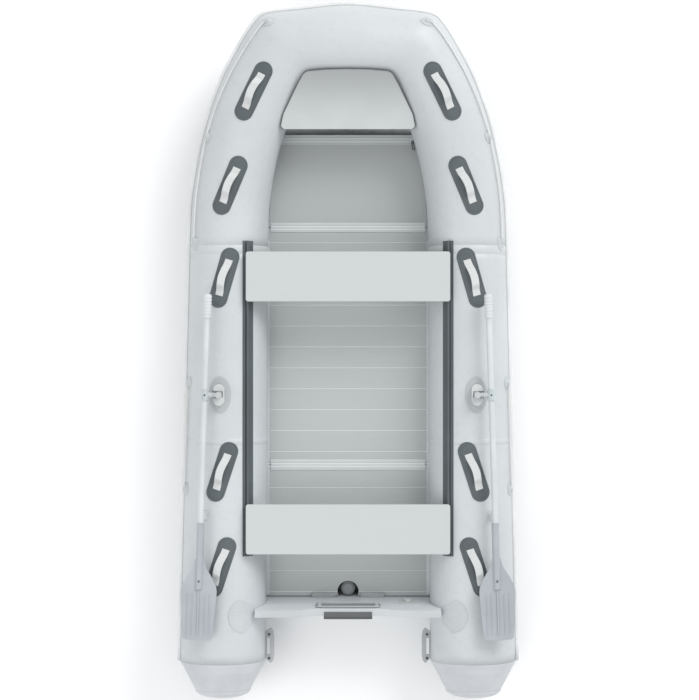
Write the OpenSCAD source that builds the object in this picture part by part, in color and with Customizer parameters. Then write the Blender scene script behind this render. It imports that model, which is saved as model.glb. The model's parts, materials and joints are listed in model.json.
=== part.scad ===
/* [Hull] */
// Overall length, from the stern cones to the rubbing strake at the stem
length_overall = 3300; // [3000:10:3960]
// Overall beam over the rubbing strakes
beam = 1640; // [1500:10:1968]
// Tube radius at the stern
tube_r_aft = 206; // [196:1:212]
// Tube radius at the shoulder, where the bow starts to curve in
tube_r_fore = 188; // [180:1:192]
// Tube radius at the stem
tube_r_stem = 184; // [176:1:188]
// Rise of the tube's centre line from midships to the stem
sheer = 150; // [110:5:180]
// Fabric thickness of the air chambers
skin_t = 1; // [0.8:0.1:1.4]
// Length of each stern cone
cone_len = 182; // [150:1:230]
// Radius of a stern cone where its rounded end starts
cone_tip_r = 135; // [110:1:150]
// Distance of the chamber baffles behind the shoulder
baffle_setback = 54; // [30:1:120]
// Height of the rubbing strake
strake_h = 104; // [70:1:130]
// Thickness of the rubbing strake
strake_t = 12; // [8:1:14]

/* [Floor] */
// Height of the floor's top face
floor_z = 130; // [126:1:136]
// Thickness of the floor panels
floor_t = 14; // [12:1:18]
// Pitch of the floor slats
slat_pitch = 101; // [84:1:121]
// Distance from the shoulder forward to the front floor joiner
front_joiner_y = 64.5; // [50:0.5:80]
// Distance between the two floor joiners
mid_panel_len = 1146; // [955:1:1250]
// Length of the bow floor panel
bow_panel_len = 424; // [353:1:440]
// Width of a floor joiner's flange
joiner_w = 46; // [36:1:56]

/* [Transom] */
// Thickness of the transom board
transom_t = 33; // [27:1:40]
// Rake of the transom, in degrees
rake = 8; // [4:1:12]
// Height of the transom at the motor
transom_mid_z = 345; // [320:1:352]
// Height of the transom at its ends
transom_end_z = 380; // [356:1:384]
// Distance from the transom to the ends of the stern cones
stern_overhang = 488; // [440:1:540]

/* [Benches] */
// Length of a bench board
bench_len = 960; // [940:1:976]
// Width of a bench board
bench_w = 235; // [196:1:282]
// Thickness of a bench board
bench_t = 20; // [16:1:24]
// Radius of the bead on a bench rail
bead_r = 6; // [5:0.5:7]

/* [Oars] */
// Diameter of an oar's shaft
shaft_d = 27; // [24:1:30]
// Diameter of an oar's grip
grip_d = 38; // [34:1:42]
// Greatest width of an oar's blade
blade_w = 168; // [140:1:176]
// Diameter of the oarlock's upright post
post_d = 14; // [12:1:16]
// Diameter of the oarlock's cross pin
arm_d = 12; // [10:1:13]

/* [Fittings] */
// Length of a grab handle's pad
pad_len = 290; // [240:1:310]
// Width of a grab handle's pad
pad_w = 88; // [74:1:96]
// Width of a grab handle's strap
strap_w = 36; // [30:1:42]
// Diameter of the grab rope
rope_d = 8; // [7:0.5:9]
// Diameter of an air valve's cap
cap_d = 42; // [36:1:46]
// Bore of the transom drain
drain_d = 22; // [18:1:26]

/* [Hidden] */

$fn = 64;
sides = 36;       // sides of a tube's cross-section
gap = 0.3;        // between pieces that touch
fit = 0.05;       // radial clearance of a pin in its bore
stuck = 0.6;      // from the nominal tube to what is glued on it

// Hull lines
stern_y = -length_overall / 2;
chamber_y = stern_y + cone_len;
transom_y = stern_y + stern_overhang;
stem_y = length_overall / 2 - strake_t - tube_r_stem;
bow_len = 914;
shoulder_y = stem_y - bow_len;
tube_x_aft = beam / 2 - strake_t - tube_r_aft - 2;
taper_in = 31;
tube_x_fore = tube_x_aft - taper_in + 2;
tube_z = tube_r_aft;
baffle_y = shoulder_y - baffle_setback;
baffle_t = (baffle_y - chamber_y) / (shoulder_y - chamber_y);

// Bow stations from shoulder to stem:
// share of breadth, setback from the stem, plane angle, widening, share of the sheer
bow_lines = [
  [1.000, 914, 0, 1.00, 0.00],
  [0.982, 724, 0.5, 1.00, 0.07],
  [0.928, 543, 2.5, 1.00, 0.24],
  [0.850, 380, 9, 1.00, 0.46],
  [0.750, 236, 21.5, 1.00, 0.67],
  [0.630, 110, 38.5, 1.02, 0.84],
  [0.562, 54, 49, 1.07, 0.90],
  [0.505, 29, 53, 1.11, 0.93],
  [0.420, 18, 57.5, 1.09, 0.95],
  [0.236, 9, 70, 1.01, 0.98],
  [0.000, 0, 90, 1.00, 1.00]];
stem_t = len(bow_lines);
before_shoulder = [1.005, bow_len + 190, 0, 1.00, 0.00];

function mix(a, b, k) = a + (b - a) * k;

// A station of the table, with a made-up one before the shoulder and mirror images past the stem
function bow_station(i) =
  i < 0 ? before_shoulder :
  i < stem_t ? bow_lines[i] :
  let (m = bow_lines[2 * (stem_t - 1) - i]) [-m[0], m[1], 180 - m[2], m[3], m[4]];

function spline(a, b, c, d, k) =
  0.5 * (2 * b + (c - a) * k + (2 * a - 5 * b + 4 * c - d) * k * k
    + (3 * b - a - 3 * c + d) * k * k * k);

// A section at t: 0 at the stern end of the chamber, 1 at the shoulder, stem_t at the stem.
// Gives centre x, y, z, half-breadth, half-height and the angle of its plane
function section(t) =
  t <= 1 ?
    [mix(tube_x_aft, tube_x_fore, t), mix(chamber_y, shoulder_y, t), tube_z,
      mix(tube_r_aft, tube_r_fore, t), mix(tube_r_aft, tube_r_fore, t), 0] :
  let (i = min(floor(t) - 1, stem_t - 2), k = t - 1 - i,
    s = spline(bow_station(i - 1), bow_station(i), bow_station(i + 1), bow_station(i + 2), k),
    r = mix(tube_r_fore, tube_r_stem, (t - 1) / (stem_t - 1)))
    [s[0] * tube_x_fore, stem_y - s[1], tube_z + s[4] * sheer, r * s[3], r, s[2]];

// A point on the starboard tube: angle 0 is outboard, 90 the crown, 180 inboard
function skin(t, angle, off = 0) =
  let (s = section(t), across = (s[3] + off) * cos(angle))
    [s[0] + across * cos(s[5]), s[1] + across * sin(s[5]), s[2] + (s[4] + off) * sin(angle)];

function t_at(y) = (y - chamber_y) / (shoulder_y - chamber_y);
function flip(p) = [-p[0], p[1], p[2]];
function plan(p) = [p[0], p[1]];

// The section whose plane holds a plan point, found by halving
function t_of(p, low = -0.2, high = stem_t, n = 18) =
  n == 0 ? (low + high) / 2 :
  let (t = (low + high) / 2, s = section(t),
    ahead = (p[1] - s[1]) * cos(s[5]) - (p[0] - s[0]) * sin(s[5]))
    ahead > 0 ? t_of(p, t, high, n - 1) : t_of(p, low, t, n - 1);

// Height of the tube's upper face at a plan point on the starboard side
function crown(p) =
  let (t = t_of(p), s = section(t),
    d = (p[0] - s[0]) * cos(s[5]) + (p[1] - s[1]) * sin(s[5]), share = min(1, abs(d) / s[3]))
    s[2] + s[4] * sqrt(1 - share * share);

// Distance from the middle plane to the tube's inboard face at a height, on a section
function inboard_x(t, z) =
  let (s = section(t), h = (z - s[2]) / s[4]) s[0] - s[3] * sqrt(max(0, 1 - h * h)) * cos(s[5]);

// A closed solid through rings that have the same number of points. In a sheet, the second half
// of each ring runs back along the first, and its walls are cut along the same diagonals
module loft(rings, sheet = false) {
  n = len(rings[0]);
  last = len(rings) - 1;
  points = [for (ring = rings) each ring];
  walls = [for (i = [0:last - 1], j = [0:n - 1])
    let (a = i * n + j, b = i * n + (j + 1) % n) each
      sheet && j >= n / 2 ? [[a, b, a + n], [b, b + n, a + n]]
        : [[a, b, b + n], [a, b + n, a + n]]];
  cap = [for (k = [0:floor(n / 2) - 1]) each [
    if (k + 1 < n - 1 - k) [k, k + 1, n - 1 - k],
    if (k + 1 < n - 2 - k) [k + 1, n - 2 - k, n - 1 - k]]];
  near_cap = [for (c = cap) [c[2], c[1], c[0]]];
  far_cap = [for (c = cap) [for (i = c) last * n + i]];
  polyhedron(points, concat(near_cap, walls, far_cap), convexity = 6);
}

function tube_ring(t, off) = [for (j = [0:sides - 1]) skin(t, j * 360 / sides, off)];
function port_ring(t, off) = [for (p = tube_ring(t, off)) flip(p)];
side_ts = [for (i = [0:6]) baffle_t * i / 6];
bow_ts = concat([baffle_t, 1], [for (i = [3:2 * stem_t - 1]) i / 2]);

module both_sides() {
  children();
  mirror([1, 0, 0]) children();
}

// Puts a child's z axis on the tube's normal and its y axis along the tube
module on_tube(t, angle, off = 0) {
  at = skin(t, angle, off);
  out = skin(t, angle, off + 10) - at;
  ahead = skin(t + 0.05, angle, off) - skin(t - 0.05, angle, off);
  n = out / norm(out);
  side = cross(ahead, n) / norm(cross(ahead, n));
  along = cross(n, side);
  multmatrix([
    [side[0], along[0], n[0], at[0]],
    [side[1], along[1], n[1], at[1]],
    [side[2], along[2], n[2], at[2]],
    [0, 0, 0, 1]]) children();
}

// Air chambers
valve_side_t = t_at(transom_y + 260);
valve_bow_t = 3.6;
valve_angle = 191;
barrel_r = cap_d / 2 - 3;

module side_skin() {
  difference() {
    loft([for (t = side_ts) tube_ring(t, 0)]);
    loft([for (t = concat([-0.01], side_ts, [baffle_t + 0.01])) tube_ring(t, -skin_t)]);
    on_tube(valve_side_t, valve_angle, -12) cylinder(r = barrel_r + gap, h = 24);
  }
}

module starboard_chamber() {
  color([0.86, 0.87, 0.88]) side_skin();
}

module port_chamber() {
  color([0.86, 0.87, 0.88]) mirror([1, 0, 0]) side_skin();
}

module bow_chamber() {
  ts = concat([baffle_t + 0.0002], [for (i = [1:len(bow_ts) - 1]) bow_ts[i]]);
  inner_ts = concat([baffle_t - 0.01], ts);
  back = [for (i = [len(ts) - 1:-1:0]) ts[i]];
  inner_back = concat(back, [baffle_t - 0.01]);
  color([0.86, 0.87, 0.88]) difference() {
    loft(concat([for (t = ts) tube_ring(t, 0)], [tube_ring(stem_t, 0)],
      [for (t = back) port_ring(t, 0)]));
    loft(concat([for (t = inner_ts) tube_ring(t, -skin_t)], [tube_ring(stem_t, -skin_t)],
      [for (t = inner_back) port_ring(t, -skin_t)]));
    on_tube(valve_bow_t, valve_angle, -12) cylinder(r = barrel_r + gap, h = 24);
  }
}

module chamber_baffles() {
  s = section(baffle_t);
  color([0.8, 0.8, 0.8]) both_sides() translate([s[0], s[1] - 2, s[2]]) rotate([90, 0, 0])
    cylinder(r = s[3] - skin_t - 1, h = 1.5);
}

// Half-profile of a stern cone, radius and distance from its open end
function cone_profile(off) = concat([[tube_r_aft - off, 0]],
  [for (a = [0:15:90])
    [(cone_tip_r - off) * cos(a), 0.76 * cone_len + (0.24 * cone_len - gap - off) * sin(a)]]);

module stern_cones() {
  outer = cone_profile(0);
  inner = cone_profile(skin_t);
  wall = concat(outer, [for (i = [len(inner) - 1:-1:0]) inner[i]]);
  color([0.84, 0.85, 0.86]) both_sides()
    translate([tube_x_aft, chamber_y - gap, tube_z]) rotate([90, 0, 0])
    rotate_extrude($fn = 96) polygon(wall);
}

function strake_ring(t, side) =
  let (s = section(t), a = asin(strake_h / 2 / s[4]),
    outer = [[-a, 0.5], [-0.75 * a, 1], [0, 1], [0.75 * a, 1], [a, 0.5]],
    inner = [a, 0.6 * a, 0.2 * a, -0.2 * a, -0.6 * a, -a],
    ring = concat([for (p = outer) skin(t, p[0], p[1] * strake_t)],
      [for (p = inner) skin(t, p, stuck)]))
    side > 0 ? ring : [for (p = ring) flip(p)];

module rub_strake() {
  ts = concat(side_ts, bow_ts);
  one_way = concat([for (i = [0:len(ts) - 1]) if (i == 0 || ts[i] - ts[i - 1] > 0.001) ts[i]]);
  color([0.9, 0.9, 0.9]) loft(concat([for (t = one_way) strake_ring(t, 1)],
    [strake_ring(stem_t, 1)],
    [for (i = [len(one_way) - 1:-1:0]) strake_ring(one_way[i], -1)]));
}

// Bottom
strip_t = 3;
joiner_t = 2.5;
fabric_z = strip_t + gap;
fabric_t = 1;
keel_low = fabric_z + fabric_t + gap;
keel_high = floor_z - floor_t - joiner_t - 2 * gap;
keel_half_w = 60;
keel_flat = 14;
keel_rise_y = shoulder_y + 120;
fabric_angle = 240;
bottom_ts = concat([for (i = [0:5]) mix(t_at(transom_y - 20), 1, i / 5)],
  [for (i = [3:18]) i / 2]);

// Rise of the keel line ahead of where it leaves the level
function keel_rise(y) = let (d = max(0, y - keel_rise_y)) sheer * 1.55 * pow(d / 760, 2);

function bottom_ring(t) =
  let (e = skin(t, fabric_angle, stuck + 0.5), k = fabric_z + keel_rise(e[1]),
    right = [[min(keel_flat, e[0] * 0.1), k], [min(keel_half_w, e[0] * 0.3), k + 5], [e[0], e[2]]],
    low = concat([for (i = [2:-1:0]) [-right[i][0], right[i][1]]], right))
    concat([for (p = low) [p[0], e[1], p[1]]],
      [for (i = [5:-1:0]) [low[i][0], e[1], low[i][1] + fabric_t]]);

module bottom_fabric() {
  color([0.75, 0.76, 0.77]) loft([for (t = bottom_ts) bottom_ring(t)], sheet = true);
}

keel_ys = [for (i = [0:9]) mix(transom_y + 45, shoulder_y + 330, i / 9)];

function keel_ring(y, off) =
  let (low = keel_low + 1.1 * keel_rise(y) + off, high = keel_high - off,
    mid = (low + high) / 2, half_h = (high - mid) / sin(80))
    [for (j = [0:17]) [(keel_half_w - off - 4) * cos(20 * j), y, mid + half_h * sin(20 * j)]];

module keel_tube() {
  n = len(keel_ys) - 1;
  color([0.7, 0.71, 0.72]) difference() {
    loft([for (i = [0:n]) keel_ring(keel_ys[i], 0)]);
    loft([for (i = [0:n]) keel_ring(keel_ys[i] + (i == 0 ? skin_t : i == n ? -skin_t : 0),
      skin_t)]);
  }
}

module keel_strip() {
  fabric_ys = [for (t = bottom_ts) skin(t, fabric_angle, stuck + 0.5)[1]];
  rings = [for (y = fabric_ys) if (y < shoulder_y + 650)
    let (z = keel_rise(y)) [[30, y, z], [30, y, z + strip_t], [-30, y, z + strip_t],
      [-30, y, z]]];
  color([0.3, 0.31, 0.33]) loft(rings);
}

// Floor
floor_low = floor_z - floor_t;
flange_top = floor_z + gap + joiner_t;
stringer_x = inboard_x(1, flange_top) - 0.5;
stringer_wall = 3;
floor_half_w = stringer_x - stringer_wall - gap;
web_t = 3;
front_web_y = shoulder_y + front_joiner_y;
aft_web_y = front_web_y - mid_panel_len;
bow_end_y = front_web_y + bow_panel_len;
aft_end_y = transom_y - 14;
notch_y = transom_y + 7;
notch_r = 51;
slot_w = 3;
slot_deep = 1.5;
panel_gap = web_t / 2 + gap;

// Half-width of the bow floor at a section, clear of the tubes
function bow_floor_x(t) = inboard_x(t, flange_top) - 10;

module panel(front_y, aft_y, first_slot_y) {
  difference() {
    translate([-floor_half_w, aft_y, floor_low])
      cube([2 * floor_half_w, front_y - aft_y, floor_t]);
    for (y = [first_slot_y:-slat_pitch:aft_y + joiner_w / 2])
      translate([-floor_half_w - 1, y - slot_w / 2, floor_z - slot_deep])
        cube([2 * floor_half_w + 2, slot_w, slot_deep + 1]);
    children();
  }
}

module bow_floor_panel() {
  t_end = t_of([500, bow_end_y]);
  aft_x = bow_floor_x(1.34) - 2;
  tip_x = bow_floor_x(t_end);
  near_y = front_web_y + panel_gap;
  far_y = bow_end_y - web_t / 2 - gap;
  color([0.68, 0.7, 0.7]) translate([0, 0, floor_low]) linear_extrude(floor_t)
    polygon([[-aft_x, near_y], [aft_x, near_y], [tip_x, far_y], [-tip_x, far_y]]);
}

module mid_floor_panel() {
  color([0.7, 0.72, 0.72])
    panel(front_web_y - panel_gap, aft_web_y + panel_gap, front_web_y - 72.5);
}

module aft_floor_panel() {
  color([0.7, 0.72, 0.72]) panel(aft_web_y - panel_gap, aft_end_y, aft_web_y - 109.5)
    translate([0, notch_y, floor_low - 1]) cylinder(r = notch_r, h = floor_t + 2);
}

// An H-shaped bar across the boat; the bow one has no groove ahead of it
module joiner(y, half_w, w) {
  for (z = [floor_low - gap - joiner_t, floor_z + gap])
    translate([-half_w, y - w / 2, z]) cube([2 * half_w, w, joiner_t]);
  translate([-half_w, y - web_t / 2, floor_low - gap - 0.5])
    cube([2 * half_w, web_t, floor_t + 2 * gap + 1]);
}

module floor_joiners() {
  inner_x = floor_half_w - 20;
  end_x = bow_floor_x(t_of([500, bow_end_y + joiner_w / 2])) - 4;
  color([0.76, 0.77, 0.78]) {
    joiner(front_web_y, inner_x, joiner_w);
    joiner(aft_web_y, inner_x, joiner_w + 6);
    joiner(bow_end_y, end_x, joiner_w);
  }
}

module side_stringers() {
  from_y = aft_end_y + 6;
  long = shoulder_y - from_y;
  lip = 18;
  low = floor_low - gap - joiner_t;
  tall = flange_top - low;
  color([0.6, 0.61, 0.62]) both_sides() {
    translate([stringer_x - stringer_wall, from_y, low]) cube([stringer_wall, long, tall]);
    for (z = [low, floor_z + gap])
      translate([stringer_x - stringer_wall - lip + 3, from_y, z]) cube([lip, long, joiner_t]);
  }
}

// Transom, drawn upright and then leaned aft about its lower front edge
module leaned() {
  translate([0, transom_y, 0]) rotate([rake, 0, 0]) children();
}

board_end_x = tube_x_aft - 160;

module board_outline() {
  polygon([
    [0, 9], [470, 33], [520, 33], [520, 180], [board_end_x, 300], [board_end_x, transom_end_z],
    [300, transom_end_z],
    [220, mix(transom_mid_z, transom_end_z, 0.75)], [150, transom_mid_z],
    [-150, transom_mid_z], [-220, mix(transom_mid_z, transom_end_z, 0.75)],
    [-300, transom_end_z], [-board_end_x, transom_end_z], [-board_end_x, 300], [-520, 180],
    [-520, 33], [-470, 33]]);
}

drain_x = 283;
drain_z = 225;
bush_r = drain_d / 2 + 4;

module transom_board() {
  s = section(t_at(transom_y - 20));
  color([0.72, 0.73, 0.73]) difference() {
    leaned() rotate([90, 0, 0]) linear_extrude(transom_t) board_outline();
    both_sides() translate([s[0], transom_y + 100, s[2]]) rotate([90, 0, 0])
      cylinder(r = s[3] + 0.4, h = 300);
    leaned() translate([drain_x, 1, drain_z]) rotate([90, 0, 0])
      cylinder(r = bush_r, h = transom_t + 2);
  }
}

module transom_cap() {
  cap_t = 3;
  top = [[-board_end_x, transom_end_z], [-300, transom_end_z],
    [-220, mix(transom_mid_z, transom_end_z, 0.75)], [-150, transom_mid_z],
    [150, transom_mid_z], [220, mix(transom_mid_z, transom_end_z, 0.75)],
    [300, transom_end_z], [board_end_x, transom_end_z]];
  color([0.82, 0.83, 0.83]) leaned() rotate([90, 0, 0]) translate([0, 0, -1])
    linear_extrude(transom_t + 2)
    polygon(concat([for (p = top) p + [0, gap]],
      [for (i = [len(top) - 1:-1:0]) top[i] + [0, gap + cap_t]]));
}

// A fan of fabric on each tube, spread from the transom's end to a round outer edge
shell_at = [board_end_x - 40, transom_y - 70];

function shell_point(a, k) =
  let (reach = mix(44 / cos(a), 162 - 37 * pow((a + 5) / 40, 2), k),
    p = shell_at + reach * [cos(a), sin(a)]) [p[0], p[1], crown(p) + stuck];

module transom_shells() {
  rings = [for (a = [-45:7.9:34.1])
    concat([for (k = [0:0.125:1]) shell_point(a, k)],
      [for (k = [1:-0.125:0]) shell_point(a, k) + [0, 0, 2.4]])];
  color([0.78, 0.79, 0.8]) both_sides() loft(rings, sheet = true);
}

module floor_stops() {
  color([0.66, 0.67, 0.68]) both_sides() leaned()
    translate([60, gap, (floor_z + gap) / cos(rake)]) cube([115, 22, 14]);
}

module motor_plate() {
  color([0.6, 0.61, 0.61]) leaned() translate([0, gap, transom_mid_z - 83])
    rotate([-90, 0, 0]) mirror([0, 1, 0]) linear_extrude(6)
    polygon([[-153, 20], [-130, 0], [130, 0], [153, 20], [153, 58], [130, 78], [-130, 78],
      [-153, 58]]);
}

module motor_pad() {
  color([0.36, 0.37, 0.37]) leaned()
    translate([-115, -transom_t - gap - 20, transom_mid_z - 172]) cube([230, 20, 170]);
}

module drain_fitting() {
  color([0.85, 0.86, 0.86]) leaned() translate([drain_x, 0, drain_z]) difference() {
    union() {
      translate([-38, gap, -40]) cube([76, 3, 80]);
      translate([0, gap + 1, 0]) rotate([90, 0, 0]) cylinder(r = bush_r - gap, h = transom_t);
    }
    translate([0, 10, 0]) rotate([90, 0, 0]) cylinder(d = drain_d, h = transom_t + 20);
  }
}

module drain_plug() {
  color([0.8, 0.81, 0.82]) leaned() translate([drain_x, 0, drain_z]) rotate([90, 0, 0]) {
    translate([0, 0, -3.6]) cylinder(d = drain_d - 2 * fit, h = 28);
    translate([0, 0, -12 - 3.5]) cylinder(d = drain_d + 10, h = 12);
  }
}

// Air valves: a flange outside the skin, a barrel inside it and a cap
flange_t = 3;
cap_h = 9;
bow_valve_off = 4;  // the skin is hollow along the tube there

module valve_body() {
  difference() {
    union() {
      translate([0, 0, stuck]) cylinder(r = cap_d / 2 + 6, h = flange_t);
      translate([0, 0, -16]) cylinder(r = barrel_r, h = 16 + stuck + 1);
    }
    translate([0, 0, -17]) cylinder(r = barrel_r - 4, h = 30);
  }
}

module valve_cap() {
  translate([0, 0, stuck + flange_t + gap]) cylinder(d = cap_d, h = cap_h);
  translate([0, 0, stuck + flange_t - 7]) cylinder(r = barrel_r - 4 - fit, h = 8);
}

module tube_valves() {
  color([0.45, 0.46, 0.47]) {
    both_sides() on_tube(valve_side_t, valve_angle) valve_body();
    on_tube(valve_bow_t, valve_angle, bow_valve_off) valve_body();
  }
}

module starboard_valve_cap() {
  color([0.35, 0.36, 0.37]) on_tube(valve_side_t, valve_angle) valve_cap();
}

module port_valve_cap() {
  color([0.35, 0.36, 0.37]) mirror([1, 0, 0]) on_tube(valve_side_t, valve_angle) valve_cap();
}

module bow_valve_cap() {
  color([0.35, 0.36, 0.37]) on_tube(valve_bow_t, valve_angle, bow_valve_off) valve_cap();
}

keel_valve_at = [0, notch_y + 14, keel_high + gap];

module keel_valve() {
  color([0.55, 0.56, 0.57]) translate(keel_valve_at) difference() {
    cylinder(d = 66, h = 4);
    translate([0, 0, -1]) cylinder(d = 30, h = 6);
  }
}

module keel_valve_cap() {
  color([0.62, 0.63, 0.64]) translate(keel_valve_at) {
    translate([0, 0, 4 + gap]) cylinder(d = 48, h = 14);
    translate([0, 0, 1]) cylinder(d = 30 - 2 * fit, h = 5);
  }
}

// Grab handles: distance of the middle ahead of midships or behind the stem, breadth and tilt
handles = [
  [stem_y - 238, 0.770, 27],
  [stem_y - 670, 0.970, 23],
  [352, 1.020, 16],
  [-560, 1.035, 18],
  [-1007, 1.050, 18]];
pad_t = 3;
pad_off = stuck + 0.3;
strap_len = 176;
strap_t = 3;
strap_rise = 21;
shoe_len = 26;
shoe_w = strap_w + 8;

// Half-width of a pad with round ends, at a distance from its middle
function stadium(s) =
  let (r = pad_w / 2, over = max(0, abs(s) - (pad_len / 2 - r))) sqrt(max(0, r * r - over * over));

function pad_steps() =
  let (r = pad_w / 2, straight = pad_len / 2 - r,
    ends = [for (a = [75:-25:0]) straight + r * sin(a)])
    concat([for (s = ends) -s], [0], [for (i = [len(ends) - 1:-1:0]) ends[i]]);

function handle_point(h, along, across) =
  [h[1] * tube_x_fore - along * sin(h[2]) + across * cos(h[2]),
    h[0] + along * cos(h[2]) + across * sin(h[2])];

function on_crown(p, off) = [p[0], p[1], crown(p) + off];

module handle_pad(h) {
  shares = [-1, -0.6, -0.2, 0.2, 0.6, 1];
  loft([for (s = pad_steps())
    let (w = stadium(s), row = [for (k = shares) handle_point(h, s, k * w)])
      concat([for (i = [0:5]) on_crown(row[i], pad_off)],
        [for (i = [5:-1:0]) on_crown(row[i], pad_off + pad_t)])]);
}

// Lays a child along a handle: y runs along it, z is square to it and starts at the highest skin
module along_handle(h) {
  fore = on_crown(handle_point(h, strap_len / 2, 0), 0);
  aft = on_crown(handle_point(h, -strap_len / 2, 0), 0);
  mid = (fore + aft) / 2;
  slope = (fore[2] - aft[2]) / strap_len;
  rise = max([for (s = [-0.5:0.1:0.5], k = [-0.5:0.25:0.5])
    crown(handle_point(h, s * strap_len, k * shoe_w)) - mid[2] - slope * s * strap_len]);
  translate([mid[0], mid[1], mid[2] + rise]) rotate([0, 0, h[2]]) rotate([atan(slope), 0, 0])
    children();
}

module shoe() {
  low = pad_off + pad_t + gap;
  high = strap_rise - gap;
  rotate([90, 0, 90]) translate([0, 0, -shoe_w / 2]) linear_extrude(shoe_w)
    polygon([[0, low], [shoe_len, low], [shoe_len, low + 5], [6, high], [0, high]]);
}

module handle_pads() {
  color([0.36, 0.38, 0.39]) both_sides() for (h = handles) {
    handle_pad(h);
    along_handle(h) for (end = [0, 180])
      rotate([0, 0, end]) translate([0, strap_len / 2 - shoe_len, 0]) shoe();
  }
}

module handle_straps() {
  color([0.87, 0.88, 0.89]) both_sides() for (h = handles) along_handle(h)
    translate([-strap_w / 2, -strap_len / 2, strap_rise]) cube([strap_w, strap_len, strap_t]);
}

// Bench rails: a strip on the tube with a round bead that the benches slide on
rail_in = 107;
rail_x = tube_x_fore + 8 - rail_in;
rail_half_w = 24;
rail_fore_y = shoulder_y - 14;
fore_bench_y = shoulder_y - 183;
aft_bench_y = transom_y + 332;
rail_aft_y = min(rail_fore_y - 1485, aft_bench_y - bench_w / 2 - 2);
rail_len = rail_fore_y - rail_aft_y;
rail_foot = 4.6;
strip_z = max([for (y = [rail_fore_y:-rail_len / 6:rail_aft_y - 1]) crown([rail_x, y])]);
bead_z = strip_z + 9 + bead_r;

module rail_strips() {
  shares = [-1, -0.5, 0, 0.5, 1];
  ys = [for (i = [0:12]) mix(rail_aft_y, rail_fore_y, i / 12)];
  color([0.36, 0.38, 0.39]) both_sides() loft([for (y = ys)
    concat([for (i = [0:4]) on_crown([rail_x + shares[i] * rail_half_w, y], stuck)],
      [for (i = [4:-1:0]) on_crown([rail_x + shares[i] * rail_half_w, y], stuck + 2)])]);
}

module bench_rails() {
  color([0.34, 0.36, 0.37]) both_sides() {
    translate([rail_x, rail_fore_y, bead_z]) rotate([90, 0, 0]) cylinder(r = bead_r, h = rail_len);
    translate([rail_x - 2, rail_aft_y, strip_z + rail_foot])
      cube([4, rail_len, bead_z - strip_z - rail_foot]);
  }
}

// Benches
bench_low = bead_z + bead_r + 3.5;
slider_r = bead_r + 0.6;
hook = 4.5;

module bench(y) {
  corner = 12;
  translate([0, y, bench_low]) linear_extrude(bench_t) difference() {
    square([bench_len, bench_w], center = true);
    for (sx = [-1, 1], sy = [-1, 1])
      translate([sx * bench_len / 2, sy * bench_w / 2]) difference() {
        square(2 * corner, center = true);
        translate([-sx * corner, -sy * corner]) circle(corner);
      }
  }
}

// Hooks round the rail's bead, open below for its web, that reach in under the bench's ends
module sliders(y) {
  reach = max(bead_r + 3, rail_x + 8 - bench_len / 2);
  for (dy = [-70, 40]) both_sides() translate([rail_x, y + dy, 0]) difference() {
    translate([-reach, 0, bead_z - hook])
      cube([reach + bead_r + 3, 30, bench_low - gap - bead_z + hook]);
    translate([0, 31, bead_z]) rotate([90, 0, 0]) cylinder(r = slider_r, h = 32);
    translate([-3, -1, bead_z - 2 * bead_r]) cube([6, 32, 2 * bead_r]);
  }
}

module fore_bench() {
  color([0.8, 0.82, 0.81]) bench(fore_bench_y);
}

module aft_bench() {
  color([0.8, 0.82, 0.81]) bench(aft_bench_y);
}

module fore_bench_sliders() {
  color([0.3, 0.31, 0.32]) sliders(fore_bench_y);
}

module aft_bench_sliders() {
  color([0.3, 0.31, 0.32]) sliders(aft_bench_y);
}

// Bow deck: a flat board that leans on the tube at the stem and at its two aft corners.
// Its outline is half-breadth and setback from the stem
deck_t = 10;
deck_rest = 1.1;
deck_line = [[296, 399], [309, 395], [316, 384], [304, 332], [268, 263], [233, 195], [212, 160],
  [202, 148], [186, 141], [100, 134], [0, 132]];
deck_spots = [for (p = deck_line) [p[0], stem_y - p[1]]];
deck_aft_y = deck_spots[0][1];
deck_fore_y = deck_spots[len(deck_spots) - 1][1];
deck_pitch = atan2(crown([0, deck_fore_y]) - crown(deck_spots[2]), deck_fore_y - deck_spots[2][1]);
deck_z = max([for (p = deck_spots) crown(p) - (p[1] - deck_aft_y) * tan(deck_pitch)]) + deck_rest;

// Deck outline in the board's own plane, grown by off
module deck_outline(off) {
  right = [for (p = deck_spots) [p[0], (p[1] - deck_aft_y) / cos(deck_pitch)]];
  offset(delta = off)
    polygon(concat(right, [for (i = [len(right) - 2:-1:0]) [-right[i][0], right[i][1]]]));
}

module on_deck() {
  translate([0, deck_aft_y, deck_z]) rotate([deck_pitch, 0, 0]) children();
}

module bow_deck() {
  color([0.76, 0.78, 0.78]) on_deck() linear_extrude(deck_t) deck_outline(0);
}

module deck_trim() {
  color([0.3, 0.31, 0.32]) on_deck() translate([0, 0, 6]) linear_extrude(deck_t - 4)
    difference() {
      deck_outline(3);
      deck_outline(0.4);
      translate([-1000, -50]) square([2000, 52]);
    }
}

// Grab rope and its guides: section, angle and height over the skin
guide_base_t = 4;
rope_rise = stuck + guide_base_t + gap + rope_d / 2 + 1;
bow_rope = [[8.1, 46, 1], [7.4, 45, 0.85], [6.6, 44, 0.7], [5.8, 42, 0.65], [5, 39, 0.7],
  [4.3, 37, 0.85], [3.55, 35, 1], [2.8, 35.5, 0.9], [1.9, 36, 0.9], [1, 36, 1]];
aft_rope = [[t_at(-144), 27, 1], [t_at(-400), 25, 0.8], [t_at(-648), 24, 1]];
bow_guides = [0, 6, 9];
aft_guides = [0, 2];
rope_sides = 8;

// Follows a route of [section, angle, height], n steps between its points
function along_route(route, n) = [for (i = [0:len(route) - 2], k = [0:n - 1])
  let (last = len(route) - 1) spline(route[max(0, i - 1)], route[i], route[i + 1],
    route[min(last, i + 2)], k / n)];

function rope_line(route, n) =
  [for (p = concat(along_route(route, n), [route[len(route) - 1]]))
    skin(p[0], p[1], rope_rise * p[2])];

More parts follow.
